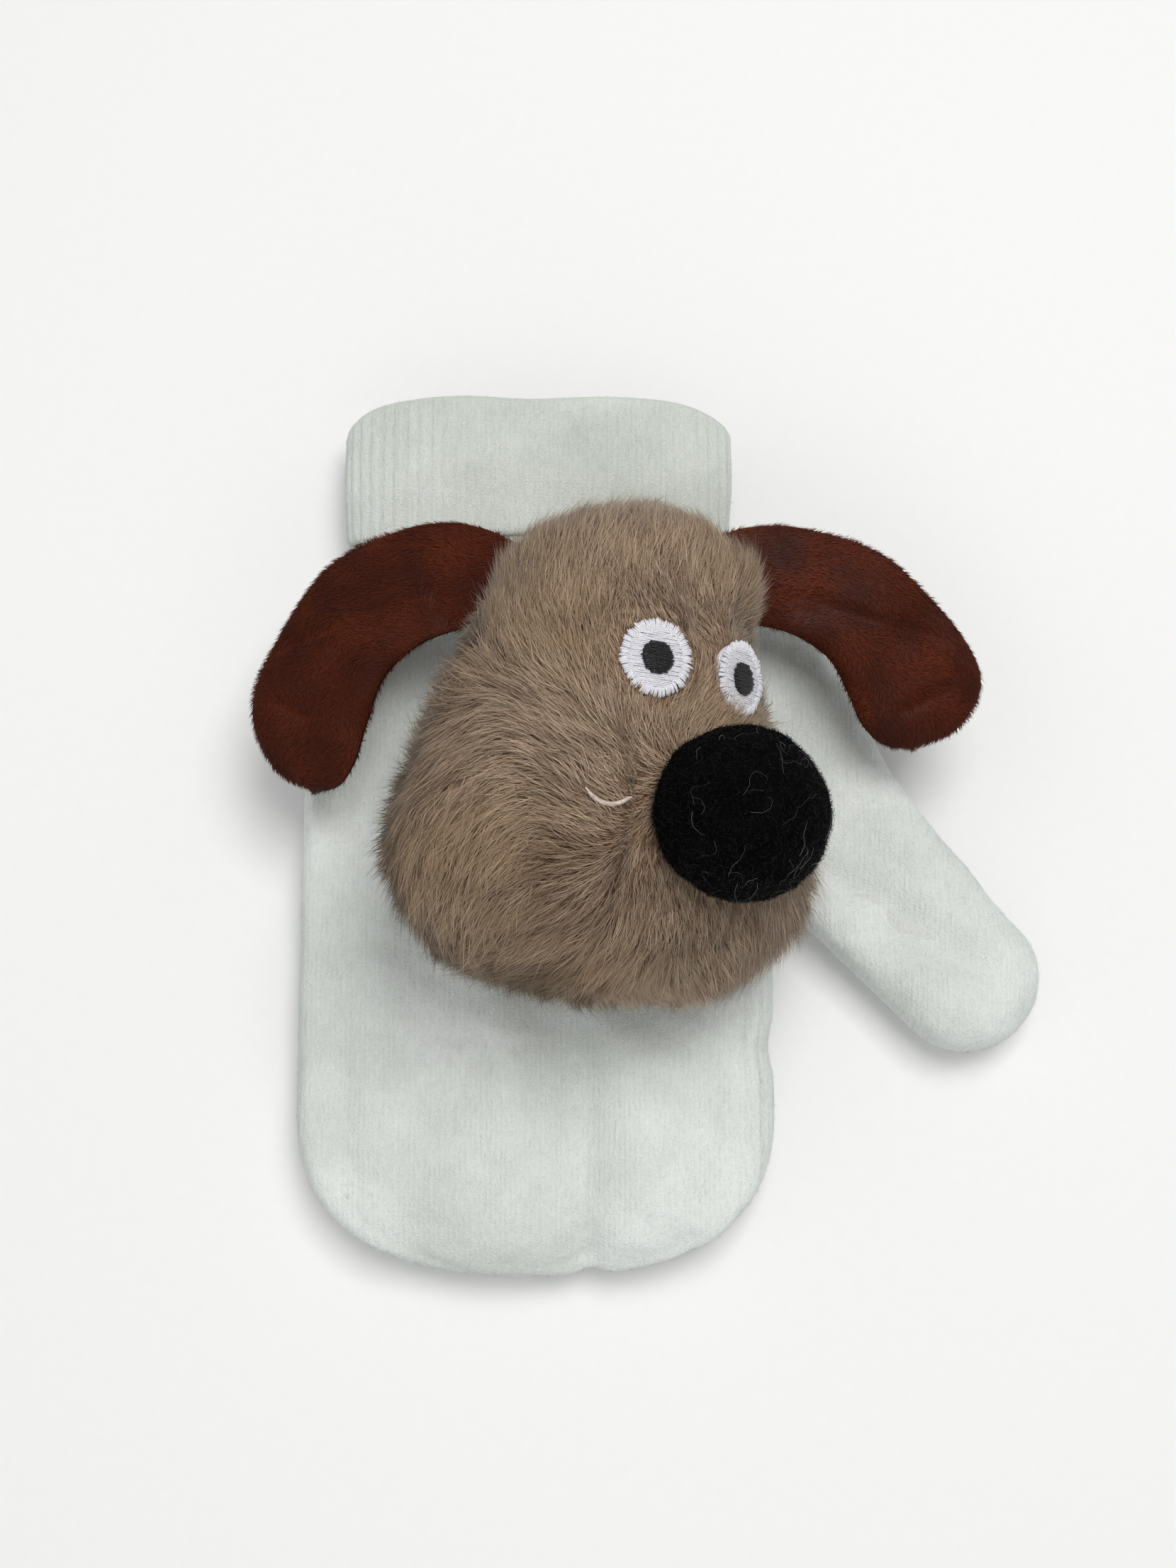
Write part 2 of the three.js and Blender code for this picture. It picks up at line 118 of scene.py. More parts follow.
soft_lamp("key", (170, 330, 980), (0, 90, 0), 0.45, 5.9, (1, 0.995, 0.985))
soft_lamp("fill", (-620, -40, 700), (0, 90, 0), 0.9, 0.9, (0.97, 0.985, 1))
soft_lamp("front", (120, -620, 560), (0, 90, 20), 0.8, 1.0, (1, 1, 1))
world = bpy.data.worlds.new("studio")
bpy.context.scene.world = world
world.use_nodes = True
world.node_tree.nodes["Background"].inputs["Color"].default_value = (0.95, 0.955, 0.96, 1)
world.node_tree.nodes["Background"].inputs["Strength"].default_value = 0.42
bpy.context.scene.view_settings.view_transform = "Standard"

# %% [markdown]
# Two helpers make every mesh: one turns whole arrays into a mesh, one links it as a piece.

# %% Arrays to meshes
def mesh_of(name, points, faces):
    """A mesh from points in metres and a list of face arrays, one array for each corner count."""
    faces = [np.asarray(block, np.int32) for block in faces if len(block)]
    corners = np.concatenate([block.ravel() for block in faces])
    sizes = np.concatenate([np.full(len(block), block.shape[1]) for block in faces])
    mesh = bpy.data.meshes.new(name)
    mesh.vertices.add(len(points))
    mesh.vertices.foreach_set("co", np.asarray(points, np.float32).ravel())
    mesh.loops.add(len(corners))
    mesh.loops.foreach_set("vertex_index", corners)
    mesh.polygons.add(len(sizes))
    mesh.polygons.foreach_set("loop_start", np.concatenate([[0], np.cumsum(sizes)[:-1]]))
    mesh.update(calc_edges=True)
    mesh.validate()
    mesh.shade_smooth()
    return mesh


def piece_of(mesh, *materials):
    """A linked object for a mesh, with its materials."""
    piece = bpy.data.objects.new(mesh.name, mesh)
    bpy.context.collection.objects.link(piece)
    for material in materials:
        mesh.materials.append(material)
    print(f"{mesh.name}: {sum(len(p.vertices) - 2 for p in mesh.polygons)} triangles")
    return piece


def settle(piece, body, slot, *nodes):
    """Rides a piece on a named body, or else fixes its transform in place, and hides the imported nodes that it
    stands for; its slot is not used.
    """
    if isinstance(body, str):
        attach(piece, body)
    else:
        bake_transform(piece)
    if nodes:
        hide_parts(*nodes)
    return piece


# %% [markdown]
# Cloth is never quite even. A sum of a few sine waves in seeded random directions gives a smooth
# bumpy field that is the same each run, and `ease` is the smooth step used for every fade.

# %% Smooth random fields
def waves(points, wavelength, seed, count=9):
    """Sum of sines: sin(k.p + phase) over random directions k of about one wavelength."""
    rng = np.random.default_rng(seed)
    directions = rng.normal(size=(count, 3))
    directions /= np.linalg.norm(directions, axis=1)[:, None]
    lengths = wavelength * rng.uniform(0.7, 1.5, count)
    angle = points @ (directions * (2 * np.pi / lengths)[:, None]).T + rng.uniform(0, 7, count)
    return np.sin(angle).sum(-1) / math.sqrt(count)


def ease(value, low, high):
    """Smooth step: 0 below low, 1 above high, 3t^2 - 2t^3 between."""
    t = np.clip((value - low) / (high - low), 0, 1)
    return t * t * (3 - 2 * t)


def bump_at(value, centre, spread):
    """A bell: exp(-((value - centre) / spread)^2)."""
    return np.exp(-((value - centre) / spread) ** 2)


def unit(vectors):
    """Vectors divided by their lengths."""
    return vectors / np.maximum(np.linalg.norm(vectors, axis=-1, keepdims=True), 1e-12)


def spline(knots, amount):
    """A Catmull-Rom curve through knots, sampled at equal steps of knot number."""
    knots = np.asarray(knots, float)
    padded_knots = np.vstack([2 * knots[0] - knots[1], knots, 2 * knots[-1] - knots[-2]])
    t = np.linspace(0, len(knots) - 1 - 1e-9, amount)
    first = t.astype(int)
    t = (t - first)[:, None]
    a, b, c, d = (padded_knots[first + k] for k in range(4))
    return 0.5 * (2 * b + (c - a) * t + (2 * a - 5 * b + 4 * c - d) * t**2
                  + (3 * b - 3 * c + d - a) * t**3)


print("field check", waves(np.zeros((1, 3)), 10, 1).round(3))

# %% [markdown]
# Shader maths reads best as ordinary maths. `Wire` wraps one socket, its operators add Math
# nodes, and its one `node` method makes any other node.

# %% Shader wires
class Wire:
    """One output socket in a material's tree."""

    def __init__(self, tree, socket):
        self.tree, self.socket = tree, socket

    def node(self, kind, settings=None, inputs=None, out=0):
        """A node of a kind: settings first, then values or wires for its sockets."""
        made = self.tree.nodes.new(kind)
        for key, value in (settings or {}).items():
            if key == "stops":
                ramp = made.color_ramp
                while len(ramp.elements) < len(value):
                    ramp.elements.new(0.5)
                for element, (place, colour) in zip(ramp.elements, value):
                    element.position, element.color = place, (*colour, 1)
            else:
                setattr(made, key, value)
        for key, value in (inputs or {}).items():
            if isinstance(value, Wire):
                self.tree.links.new(value.socket, made.inputs[key])
            else:
                made.inputs[key].default_value = value
        return Wire(self.tree, made.outputs[out])

    def maths(self, operation, *others):
        """A Math node on this wire and up to two more values."""
        inputs = dict(enumerate((self, *others)))
        return self.node("ShaderNodeMath", {"operation": operation}, inputs)

    def __add__(self, other): return self.maths("ADD", other)
    def __mul__(self, other): return self.maths("MULTIPLY", other)
    def __sub__(self, other): return self.maths("SUBTRACT", other)
    def __rsub__(self, other): return (self * -1) + other
    __radd__, __rmul__ = __add__, __mul__

    def within(self, low, high):
        """Maps low..high to 0..1 and holds it there."""
        return self.node("ShaderNodeMapRange", {"clamp": True},
                         {"Value": self, "From Min": low, "From Max": high})

    def noise(self, scale, detail=2.0, stretch=None):
        """Noise on this vector wire, about 0.3 to 0.7; scale is per millimetre."""
        place = self
        if stretch:
            place = self.node("ShaderNodeVectorMath", {"operation": "MULTIPLY"},
                              {0: self, 1: stretch})
        return place.node("ShaderNodeTexNoise", {"noise_dimensions": "3D"},
                          {"Vector": place, "Scale": scale, "Detail": detail})

    def blend(self, low, high):
        """A colour between two, by this wire: Mix node on colours."""
        colours = [item if isinstance(item, Wire) else (*item, 1) for item in (low, high)]
        return self.node("ShaderNodeMix", {"data_type": "RGBA"},
                         {0: self, 6: colours[0], 7: colours[1]}, out=2)


def new_material(name):
    """A material, a wire of Object coordinates in millimetres, and its Principled node."""
    material = bpy.data.materials.new(name)
    material.use_nodes = True
    tree = material.node_tree
    shader = tree.nodes["Principled BSDF"]
    place = Wire(tree, tree.nodes.new("ShaderNodeTexCoord").outputs["Object"])
    place = place.node("ShaderNodeVectorMath", {"operation": "SCALE"},
                       {0: place, "Scale": 1 / MM})
    return material, place, shader


def finish_material(shader, wires, plain):
    """Links wires to the Principled node's sockets and sets the plain numbers."""
    for key, value in plain.items():
        shader.inputs[key].default_value = value
    for key, wire in wires.items():
        wire.tree.links.new(wire.socket, shader.inputs[key])


def raised(height, depth, strength=1.0):
    """A Bump node: height is 0..1 and depth is in millimetres."""
    return height.node("ShaderNodeBump", None,
                       {"Height": height, "Distance": depth * MM, "Strength": strength})


def linear(red, green, blue):
    """A screen colour, 0..255, as the linear light that shaders want."""
    share = np.array([red, green, blue]) / 255
    light = np.where(share <= 0.04045, share / 12.92, ((share + 0.055) / 1.055) ** 2.4)
    return tuple(float(v) for v in light)


print("linear grey", linear(128, 128, 128)[0])

# %% [markdown]
# **Brushed knit.** The mitten's cloth is knitted in fine upright rows (wales) about 1.1 mm apart
# and then brushed until they nearly vanish under a nap. Noise for the nap, faint stripes for the
# wales and a soft sheen at grazing angles give that look.

# %% Knit, lining and seam materials
WALE = 1.13


def knit_material(name, bright, dim, wale_depth, nap_depth):
    """Brushed knit: stripes along y under fine noise, with sheen."""
    material, place, shader = new_material(name)
    across = place.node("ShaderNodeSeparateXYZ", None, {0: place}, out=0)
    wander = place.noise(0.05, 1) * 2.2
    stripe = (across * (2 * math.pi / WALE) + wander).maths("SINE") * 0.5 + 0.5
    stitch = place.noise(1.3, 2, (1, 0.22, 1))
    nap = place.noise(2.6, 3)
    cloud = place.noise(0.035, 3).within(0.35, 0.68)
    patch = cloud * 0.5 + nap.within(0.3, 0.72) * 0.24 + stitch.within(0.3, 0.7) * 0.2 + stripe * 0.06
    patch = patch.within(0.1, 0.9)
    height = nap * 0.5 + stitch * 0.4 + stripe * wale_depth
    finish_material(shader, {
        "Base Color": patch.blend(linear(*dim), linear(*bright)),
        "Roughness": nap.within(0.2, 0.8) * 0.1 + 0.86,
        "Normal": raised(height, nap_depth),
    }, {"Sheen Weight": 0.2, "Sheen Roughness": 0.45, "Sheen Tint": (0.95, 0.98, 1, 1),
        "Specular IOR Level": 0.15})
    return material


knit = knit_material("brushed_knit", (238, 242, 238), (204, 210, 204), 0.08, 0.6)
rib_knit = knit_material("ribbed_knit", (229, 233, 227), (192, 198, 190), 0.05, 0.6)
lining_fleece = knit_material("fleece_lining", (232, 235, 230), (212, 216, 210), 0.05, 0.9)
nap_fibre, fibre_place, fibre_shader = new_material("nap_fibre")
finish_material(fibre_shader, {
    "Roughness": fibre_place.noise(0.4, 2) * 0.2 + 0.6,
}, {"Base Color": (*linear(246, 248, 246), 1), "Sheen Weight": 0.2, "Specular IOR Level": 0.3})
print("knit materials ready")

# %% [markdown]
# **The mitten's cloth.** A flat knitted bag that lies on the table and is a little filled out.
# The hand with its fingers and the thumb are two lofts: superellipse sections carried along the
# hand, and along the thumb's slanting middle. A voxel remesh joins them with an even mesh, as
# the real knit is joined at the fork, and smoothing rounds the fork.

# %% Lofts for the hand and the thumb
HALF_HAND, FINGER_ROUND, WRIST_LINE = 54.0, 38.0, 171.0
THICKNESS, SEAM_LEVEL = 24.0, 10.5


def hand_half_width(y):
    """Superellipse at the fingertips, straight sides, then narrowing to the wrist."""
    rise = np.clip(1 - y / FINGER_ROUND, 0, 1)
    wrist = np.clip((y - 129) / 42, 0, 1) ** 1.6
    return HALF_HAND * (1 - rise**2.5) ** 0.4 - 9.4 * wrist


def ring_loft(middle, sideways, half_widths, heights, around=72):
    """Closed sections: middle + sideways * w * cos^0.62, height above and below the seam level with sin^0.5,
    one ring at each station."""
    angle = np.linspace(0, 2 * np.pi, around, endpoint=False)
    across = np.sign(np.cos(angle)) * np.abs(np.cos(angle)) ** 0.62
    lift = np.sign(np.sin(angle)) * np.abs(np.sin(angle)) ** 0.6
    above = (heights - SEAM_LEVEL)[:, None]
    z = SEAM_LEVEL + np.where(lift > 0, above * lift, SEAM_LEVEL * lift * (above / above.max()))
    flat = middle[:, None, :] + sideways[None, None, :] * (half_widths[:, None] * across)[..., None]
    points = np.concatenate([flat, z[..., None]], axis=2)
    return points


def closed_tube(points):
    """Faces for rings of points with a pole at each end; the poles are the end rings' means."""
    rings, around = points.shape[:2]
    index = np.arange(rings * around).reshape(rings, around)
    right = np.roll(index, -1, axis=1)
    quads = np.stack([index[:-1], right[:-1], right[1:], index[1:]], axis=-1).reshape(-1, 4)
    poles = [points[0].mean(0), points[-1].mean(0)]
    low, high = rings * around, rings * around + 1
    caps = np.concatenate([
        np.stack([np.full(around, low), right[0], index[0]], axis=1),
        np.stack([np.full(around, high), index[-1], right[-1]], axis=1),
    ])
    return np.vstack([points.reshape(-1, 3), poles]), [quads, caps]


stations = np.concatenate([FINGER_ROUND * np.linspace(0.02, 1, 26) ** 2, np.linspace(40, 205, 70)])
tip_fade = (1 - np.clip(1 - stations / 30, 0, 1) ** 2.4) ** 0.5
hand_rings = ring_loft(np.stack([stations * 0, stations], axis=1), np.array([1.0, 0.0]),
                       hand_half_width(stations), SEAM_LEVEL + (THICKNESS - SEAM_LEVEL) * tip_fade)

THUMB_ALONG, THUMB_ACROSS = np.array([0.7137, -0.7005]), np.array([0.7005, 0.7137])
along = np.concatenate([np.linspace(-84, 24, 60), 24.4 + 15.3 * np.sin(np.linspace(0.05, 1.54, 16))])
outer_edge = np.interp(along, [-84, -72, -59, -40, -20.5, 0, 17.5, 24.4],
                       [144, 148, 150.5, 145, 138.3, 135, 132.8, 132.4])
tip_share = np.sqrt(1 - np.clip((along - 24.4) / 15.4, 0, 1) ** 2)
edge_middle = np.where(along < 24.4, (outer_edge + 99.4) / 2, 116.0)
thumb_half = np.where(along < 24.4, (outer_edge - 99.4) / 2, 16.4 * tip_share)
thumb_middle = along[:, None] * THUMB_ALONG + edge_middle[:, None] * THUMB_ACROSS
thumb_rings = ring_loft(thumb_middle, THUMB_ACROSS, thumb_half,
                        SEAM_LEVEL + 12.3 * np.maximum(tip_share, 0.12) ** 0.8)
print("rings", hand_rings.shape, thumb_rings.shape)

# %% One even cloth from both lofts
CLOTH_VOXEL = 1.35


def united(parts, voxel, rounds, name):
    """A voxel remesh of closed parts, smoothed; returns the new mesh, in millimetres."""
    points, faces, start = [], [[], []], 0
    for part_points, part_faces in parts:
        points.append(part_points)
        for kept, block in zip(faces, part_faces):
            kept.append(block + start)
        start += len(part_points)
    mesh = mesh_of(name, np.vstack(points), [np.vstack(block) for block in faces])
    whole = bpy.data.objects.new(name, mesh)
    bpy.context.collection.objects.link(whole)
    remesh = whole.modifiers.new("even", "REMESH")
    remesh.mode, remesh.voxel_size = "VOXEL", voxel
    smooth = whole.modifiers.new("smooth", "SMOOTH")
    smooth.factor, smooth.iterations = 0.5, rounds
    view = whole.evaluated_get(bpy.context.evaluated_depsgraph_get())
    even = bpy.data.meshes.new_from_object(view)
    bpy.data.objects.remove(whole)
    return even


def arrays_of(mesh):
    """Points, normals and quads of a mesh as arrays."""
    points = np.empty(len(mesh.vertices) * 3)
    mesh.vertices.foreach_get("co", points)
    normals = np.empty_like(points)
    mesh.vertex_normals.foreach_get("vector", normals)
    quads = np.array([tuple(face.vertices) for face in mesh.polygons if len(face.vertices) == 4])
    tris = np.array([tuple(face.vertices) for face in mesh.polygons if len(face.vertices) == 3])
    return points.reshape(-1, 3), normals.reshape(-1, 3), [quads, tris]


def cut_at_wrist(mesh, line):
    """Removes what lies beyond y = line, with a clean edge."""
    work = bmesh.new()
    work.from_mesh(mesh)
    everything = list(work.verts) + list(work.edges) + list(work.faces)
    bmesh.ops.bisect_plane(work, geom=everything, plane_co=(0, line, 0), plane_no=(0, 1, 0),
                           clear_outer=True)
    work.to_mesh(mesh)
    work.free()


both = [closed_tube(hand_rings), closed_tube(thumb_rings)]
cloth_mesh = united(both, CLOTH_VOXEL, 14, "cloth_form")
cut_at_wrist(cloth_mesh, WRIST_LINE - 1)
cloth_points, cloth_normals, cloth_faces = arrays_of(cloth_mesh)
print("cloth", len(cloth_points), "points, box", cloth_points.min(0).round(1), cloth_points.max(0).round(1))

# %% [markdown]
# **Folds.** Lying empty, the mitten sags between its rolled edges, a soft crease runs up from the
# fingertips, another crosses the thumb, and the cloth dips under the head's weight. Each is a
# bell-shaped ridge or valley added along the surface normal, on the upper side only.

# %% Fold the cloth
def line_gap(points, start, end):
    """Signed distance from a line in plan, and how far along it a point is, 0 to 1."""
    start, end = np.array(start, float), np.array(end, float)
    step = end - start
    share = ((points[:, :2] - start) @ step) / (step @ step)
    side = np.array([-step[1], step[0]]) / np.linalg.norm(step)
    return (points[:, :2] - start) @ side, share


def fold(points, start, end, spread, height, taper=0.25):
    """A ridge or valley along a line: height * bell(distance), faded at both ends."""
    gap, share = line_gap(points, start, end)
    return height * bump_at(gap, 0, spread) * ease(share, -0.05, taper) * (1 - ease(share, 1 - taper, 1.05))


TUCK_SPAN = (162.5, 167)  # along y, where the cloth draws in under the cuff


def cloth_lift(points, normals):
    """How far the cloth moves out along its normal, in millimetres."""
    upper = ease(normals[:, 2], 0.1, 0.7)
    edge_gap = hand_half_width(points[:, 1]) - np.abs(points[:, 0])
    rolled = bump_at(edge_gap, 3.4, 2.4) * (points[:, 1] < 150) * (points[:, 0] < 50)
    inside = -1.3 * bump_at(edge_gap, 10, 5) * (points[:, 1] > 18) * (points[:, 0] < 48)
    lift = 0.9 * rolled + inside
    lift += fold(points, (11, -8), (9, 62), 5.0, -2.9)
    lift += fold(points, (-3, 0), (-8, 66), 6.0, 2.2)
    lift += fold(points, (26, 0), (24, 58), 8, 1.9)
    lift += fold(points, (-30, 4), (-26, 66), 11, -1.9)
    lift += fold(points, (60, 92), (108, 62), 5.0, -2.8)
    lift += fold(points, (74, 104), (104, 86), 5.0, 1.6)
    lift += fold(points, (-52, 40), (-40, 62), 5.0, -0.9)
    lift += fold(points, (-47, 150), (-52, 118), 5.0, 1.2)
    lift += 0.55 * waves(points, 30, 11) + 0.22 * waves(points, 11, 12)
    tucked = -2.6 * ease(points[:, 1], *TUCK_SPAN)
    return lift * upper + 0.12 * waves(points, 5, 13) * ease(np.abs(normals[:, 2]), 0, 0.5) + tucked


lift = cloth_lift(cloth_points, cloth_normals)
cloth_points = cloth_points + cloth_normals * lift[:, None]
notch = bump_at(cloth_points[:, 0], 12.5, 3.2) * (1 - ease(cloth_points[:, 1], 2, 12))
cloth_points[:, 1] += 1.6 * notch
dimple = bump_at(cloth_points[:, 1], 51, 5) * ease(cloth_points[:, 0], 40, 52) * (cloth_points[:, 0] < 58)
cloth_points[:, 0] -= 1.3 * dimple
cloth_points[:, 2] = np.maximum(cloth_points[:, 2], 0)
cloth_form = mesh_of("cloth_form", cloth_points, cloth_faces)
_, cloth_normals, _ = arrays_of(cloth_form)
print("folds from", lift.min().round(2), "to", lift.max().round(2), "mm")

# %% [markdown]
# **Two pieces that share a border.** The fingers and the thumb bend about different hinges, and a
# piece can bend between only two bodies. So the cloth is parted from the wrist to the fork, where
# everything follows the hand. Both pieces keep the whole cloth's normals, and no seam shows.

# %% Walls and borders
CLOTH_WALL, LINING_WALL = 2.2, 1.1


def walled(points, normals, faces, wall):
    """The surface, a copy moved in by the wall, and a rim round every open edge."""
    used = np.unique(np.concatenate([block.ravel() for block in faces if len(block)]))
    renumber = np.full(len(points), -1)
    renumber[used] = np.arange(len(used))
    faces = [renumber[block] for block in faces if len(block)]
    points, normals = points[used], normals[used]
    edges = np.vstack([np.stack([block[:, k], np.roll(block, -1, axis=1)[:, k]], axis=1)
                       for block in faces for k in range(block.shape[1])])
    key = np.sort(edges, axis=1) @ np.array([len(points), 1])
    _, where, counts = np.unique(key, return_index=True, return_counts=True)
    rim = edges[where[counts == 1]]
    count = len(points)
    rim_faces = np.stack([rim[:, 1], rim[:, 0], rim[:, 0] + count, rim[:, 1] + count], axis=1)
    inner = [block[:, ::-1] + count for block in faces]
    all_points = np.vstack([points, points - normals * wall])
    all_normals = np.vstack([normals, -normals])
    return all_points, all_normals, faces + inner + [rim_faces]


def walled_piece(name, points, normals, faces, wall, *materials):
    """A closed cloth piece that keeps the given normals."""
    points, normals, faces = walled(points, normals, faces, wall)
    mesh = mesh_of(name, placed(points), faces)
    mesh.normals_split_custom_set_from_vertices(normals.tolist())
    return piece_of(mesh, *materials)


def part_faces(points, faces, side):
    """The faces on the thumb's side of the border (side True) or on the hand's."""
    kept = []
    for block in faces:
        if len(block):
            middle = points[block].mean(1)
            past = np.where(middle[:, 1] > 78, middle[:, 0] > 50, middle[:, 0] > 60.5)
            kept.append(block[past == side])
    return kept


hand_cloth = walled_piece("hand_and_finger_cloth", cloth_points, cloth_normals,
                          part_faces(cloth_points, cloth_faces, False), CLOTH_WALL, knit)
thumb_cloth = walled_piece("thumb_cloth", cloth_points, cloth_normals,
                           part_faces(cloth_points, cloth_faces, True), CLOTH_WALL, knit)
FINGER_BEND = ("mitten", "fingers", placed((0, 75, 6)), placed((0, 58, 6)))
THUMB_BEND = ("mitten", "thumb", placed((62, 113, 6)), placed((76, 113, 6)))
settle(hand_cloth, FINGER_BEND, "brushed_knit", "hand_back_panel", "hand_palm_panel",
       "finger_back_panel", "finger_palm_panel", "outer_side_seam", "finger_edge_seam", "fork_seam")
settle(thumb_cloth, THUMB_BEND, "brushed_knit", "thumb_back_panel", "thumb_palm_panel",
       "thumb_edge_seam", "thumb_side_seam")

# %% [markdown]
# **The lining** is a second, looser fleece bag inside the first. It is seen through the cuff.

# %% Lining
LINING_INSET = 3.0
lining_mesh = united(both, 2.6, 10, "lining_form")
cut_at_wrist(lining_mesh, WRIST_LINE - 1)
lining_points, lining_normals, lining_faces = arrays_of(lining_mesh)
lining_depth = (LINING_INSET + 0.25 * (1 + waves(lining_points, 9, 21))[:, None]
                + 2.0 * ease(lining_points[:, 1:2], *TUCK_SPAN))
lining_points = lining_points - lining_normals * lining_depth
lining_form = mesh_of("lining_form", lining_points, lining_faces)
_, lining_normals, _ = arrays_of(lining_form)
hand_lining = walled_piece("hand_and_finger_lining", lining_points, lining_normals,
                           part_faces(lining_points, lining_faces, False), LINING_WALL, lining_fleece)
thumb_lining = walled_piece("thumb_lining_cloth", lining_points, lining_normals,
                            part_faces(lining_points, lining_faces, True), LINING_WALL, lining_fleece)
settle(hand_lining, FINGER_BEND, "fleece_lining", "hand_lining", "finger_lining")
settle(thumb_lining, THUMB_BEND, "fleece_lining", "thumb_lining")

# %% [markdown]
# **The cuff** is one ribbed tube turned up over itself: from its hem, up the outside, over the
# fold and down the inside. The profile is a closed loop carried round a rounded flat section,
# and the ribs are a wave in the outward direction, deeper low down and flatter at the fold.

# %% Cuff
CUFF_HALF, CUFF_THICK = 45.6, 25.0
RIB_PITCH, HEM_LAP = 2.9, 3.0


def cuff_surface(around=620):
    """Profile (height, inset) round a superellipse of exponents 2.9 and 2.3, with ribs."""
    top = MITTEN_LENGTH - 0.3
    bend = np.linspace(-np.pi / 2, np.pi / 2, 9)
    outer_turn = np.stack([top - 2.5 + 2.5 * np.cos(bend), 2.5 + 2.5 * np.sin(bend)], axis=1)
    inner_turn = np.stack([top - 2.9 + 0.3 * np.cos(bend[::-1]), 2.5 + 0.3 * np.sin(bend[::-1])], axis=1)
    hem_line = WRIST_LINE - HEM_LAP
    hem = np.array([[hem_line + 0.9, 2.1], [hem_line + 0.1, 1.7], [hem_line, 1.1],
                    [hem_line + 0.1, 0.5], [hem_line + 0.9, 0.1]])
    inner_hem = np.array([[WRIST_LINE + 0.4, 4.9], [WRIST_LINE - 0.1, 4.2], [WRIST_LINE + 0.4, 2.9]])
    climb = np.linspace(hem_line + 2, top - 3.2, 22)[:, None]
    inner_climb = np.maximum(climb, WRIST_LINE + 1 + 0.05 * (climb - hem_line))
    profile = np.vstack([
        hem, np.hstack([climb, 0 * climb]), outer_turn,
        np.hstack([inner_climb[::-1], 0 * climb + 5]), inner_hem,
        np.hstack([inner_climb, 0 * climb + 2.8]), inner_turn, np.hstack([climb[::-1], 0 * climb + 2.2]),
    ])
    angle = np.linspace(0, 2 * np.pi, around, endpoint=False)
    base = np.stack([np.sign(np.cos(angle)) * np.abs(np.cos(angle)) ** 0.66,
                     np.sign(np.sin(angle)) * np.abs(np.sin(angle)) ** 0.72], axis=1)
    half = np.array([CUFF_HALF, CUFF_THICK / 2])
    section = base * half
    tangent = np.roll(section, -1, axis=0) - np.roll(section, 1, axis=0)
    outward = unit(np.stack([tangent[:, 1], -tangent[:, 0]], axis=1))
    length = np.concatenate([[0], np.cumsum(np.linalg.norm(np.diff(section, axis=0), axis=1))])
    ribs = round(length[-1] / RIB_PITCH)
    wave = np.cos(2 * np.pi * ribs * length / (length[-1] + np.linalg.norm(section[0] - section[-1])))
    wave = np.sign(wave) * np.abs(wave) ** 0.7
    y, inset = profile[:, 0], profile[:, 1]
    open_face = np.where(inset < 0.3, 1.0, np.where(inset > 4.7, -0.8, 0.0))
    depth = 0.15 * open_face * (1 - 0.4 * ease(y, top - 9, top))
    flare = -0.7 * (1 - ease(y, hem_line, WRIST_LINE + 13)) * (inset < 2.5)
    out = wave[None, :] * depth[:, None] + (flare - inset)[:, None]
    flat = section[None] + outward[None] * out[..., None]
    x, z = flat[..., 0], flat[..., 1] + CUFF_THICK / 2 + 0.15
    shoulder = 5.5 * (np.abs(x) / CUFF_HALF) ** 7 * ease(y, WRIST_LINE + 6, top)[:, None]
    points = np.stack([x, y[:, None] + 0 * x - shoulder, z], axis=-1)
    points[..., 2] += 1.3 * np.sin(np.pi * ease(y, hem_line, top))[:, None] * (z > 14)
    points += 0.55 * waves(points, 26, 31)[..., None] * (
        np.array([0.3, 0.5, 1]) * (z > 14)[..., None])
    points[..., 2] = np.maximum(points[..., 2], 0.05)
    return points


def looped(points):
    """Quads of a grid that closes on itself both ways."""
    index = np.arange(points.shape[0] * points.shape[1]).reshape(points.shape[:2])
    right, up = np.roll(index, -1, axis=1), np.roll(index, -1, axis=0)
    return np.stack([index, up, np.roll(up, -1, axis=1), right], axis=-1).reshape(-1, 4)


cuff_points = cuff_surface()
cuff_mesh = mesh_of("ribbed_cuff_knit", placed(cuff_points.reshape(-1, 3)), [looped(cuff_points)])
cuff = piece_of(cuff_mesh, rib_knit)
settle(cuff, "mitten", "ribbed_knit", "ribbed_cuff", "cuff_join_seam")


def signed_volume(mesh):
    """Volume by the divergence theorem; it is positive when the faces point outward."""
    mesh.calc_loop_triangles()
    corners = np.empty(len(mesh.loop_triangles) * 3, np.int32)
    mesh.loop_triangles.foreach_get("vertices", corners)
    points = np.array([v.co for v in mesh.vertices])[corners.reshape(-1, 3)]
    return float(np.einsum("ij,ij->i", points[:, 0], np.cross(points[:, 1], points[:, 2])).sum() / 6)


for item in (hand_cloth, thumb_cloth, hand_lining, thumb_lining, cuff):
    print(item.name, "volume", round(signed_volume(item.data) * 1e6, 1), "cm3")

# %% [markdown]
# **The head** is a pear of four plush panels over loose filling: a face gusset, two cheeks and a
# back. It is a profile of half-widths from chin to crown, turned round with its depth a share of
# its width, rolled 38 degrees towards the thumb, and pressed flat below where it rests.

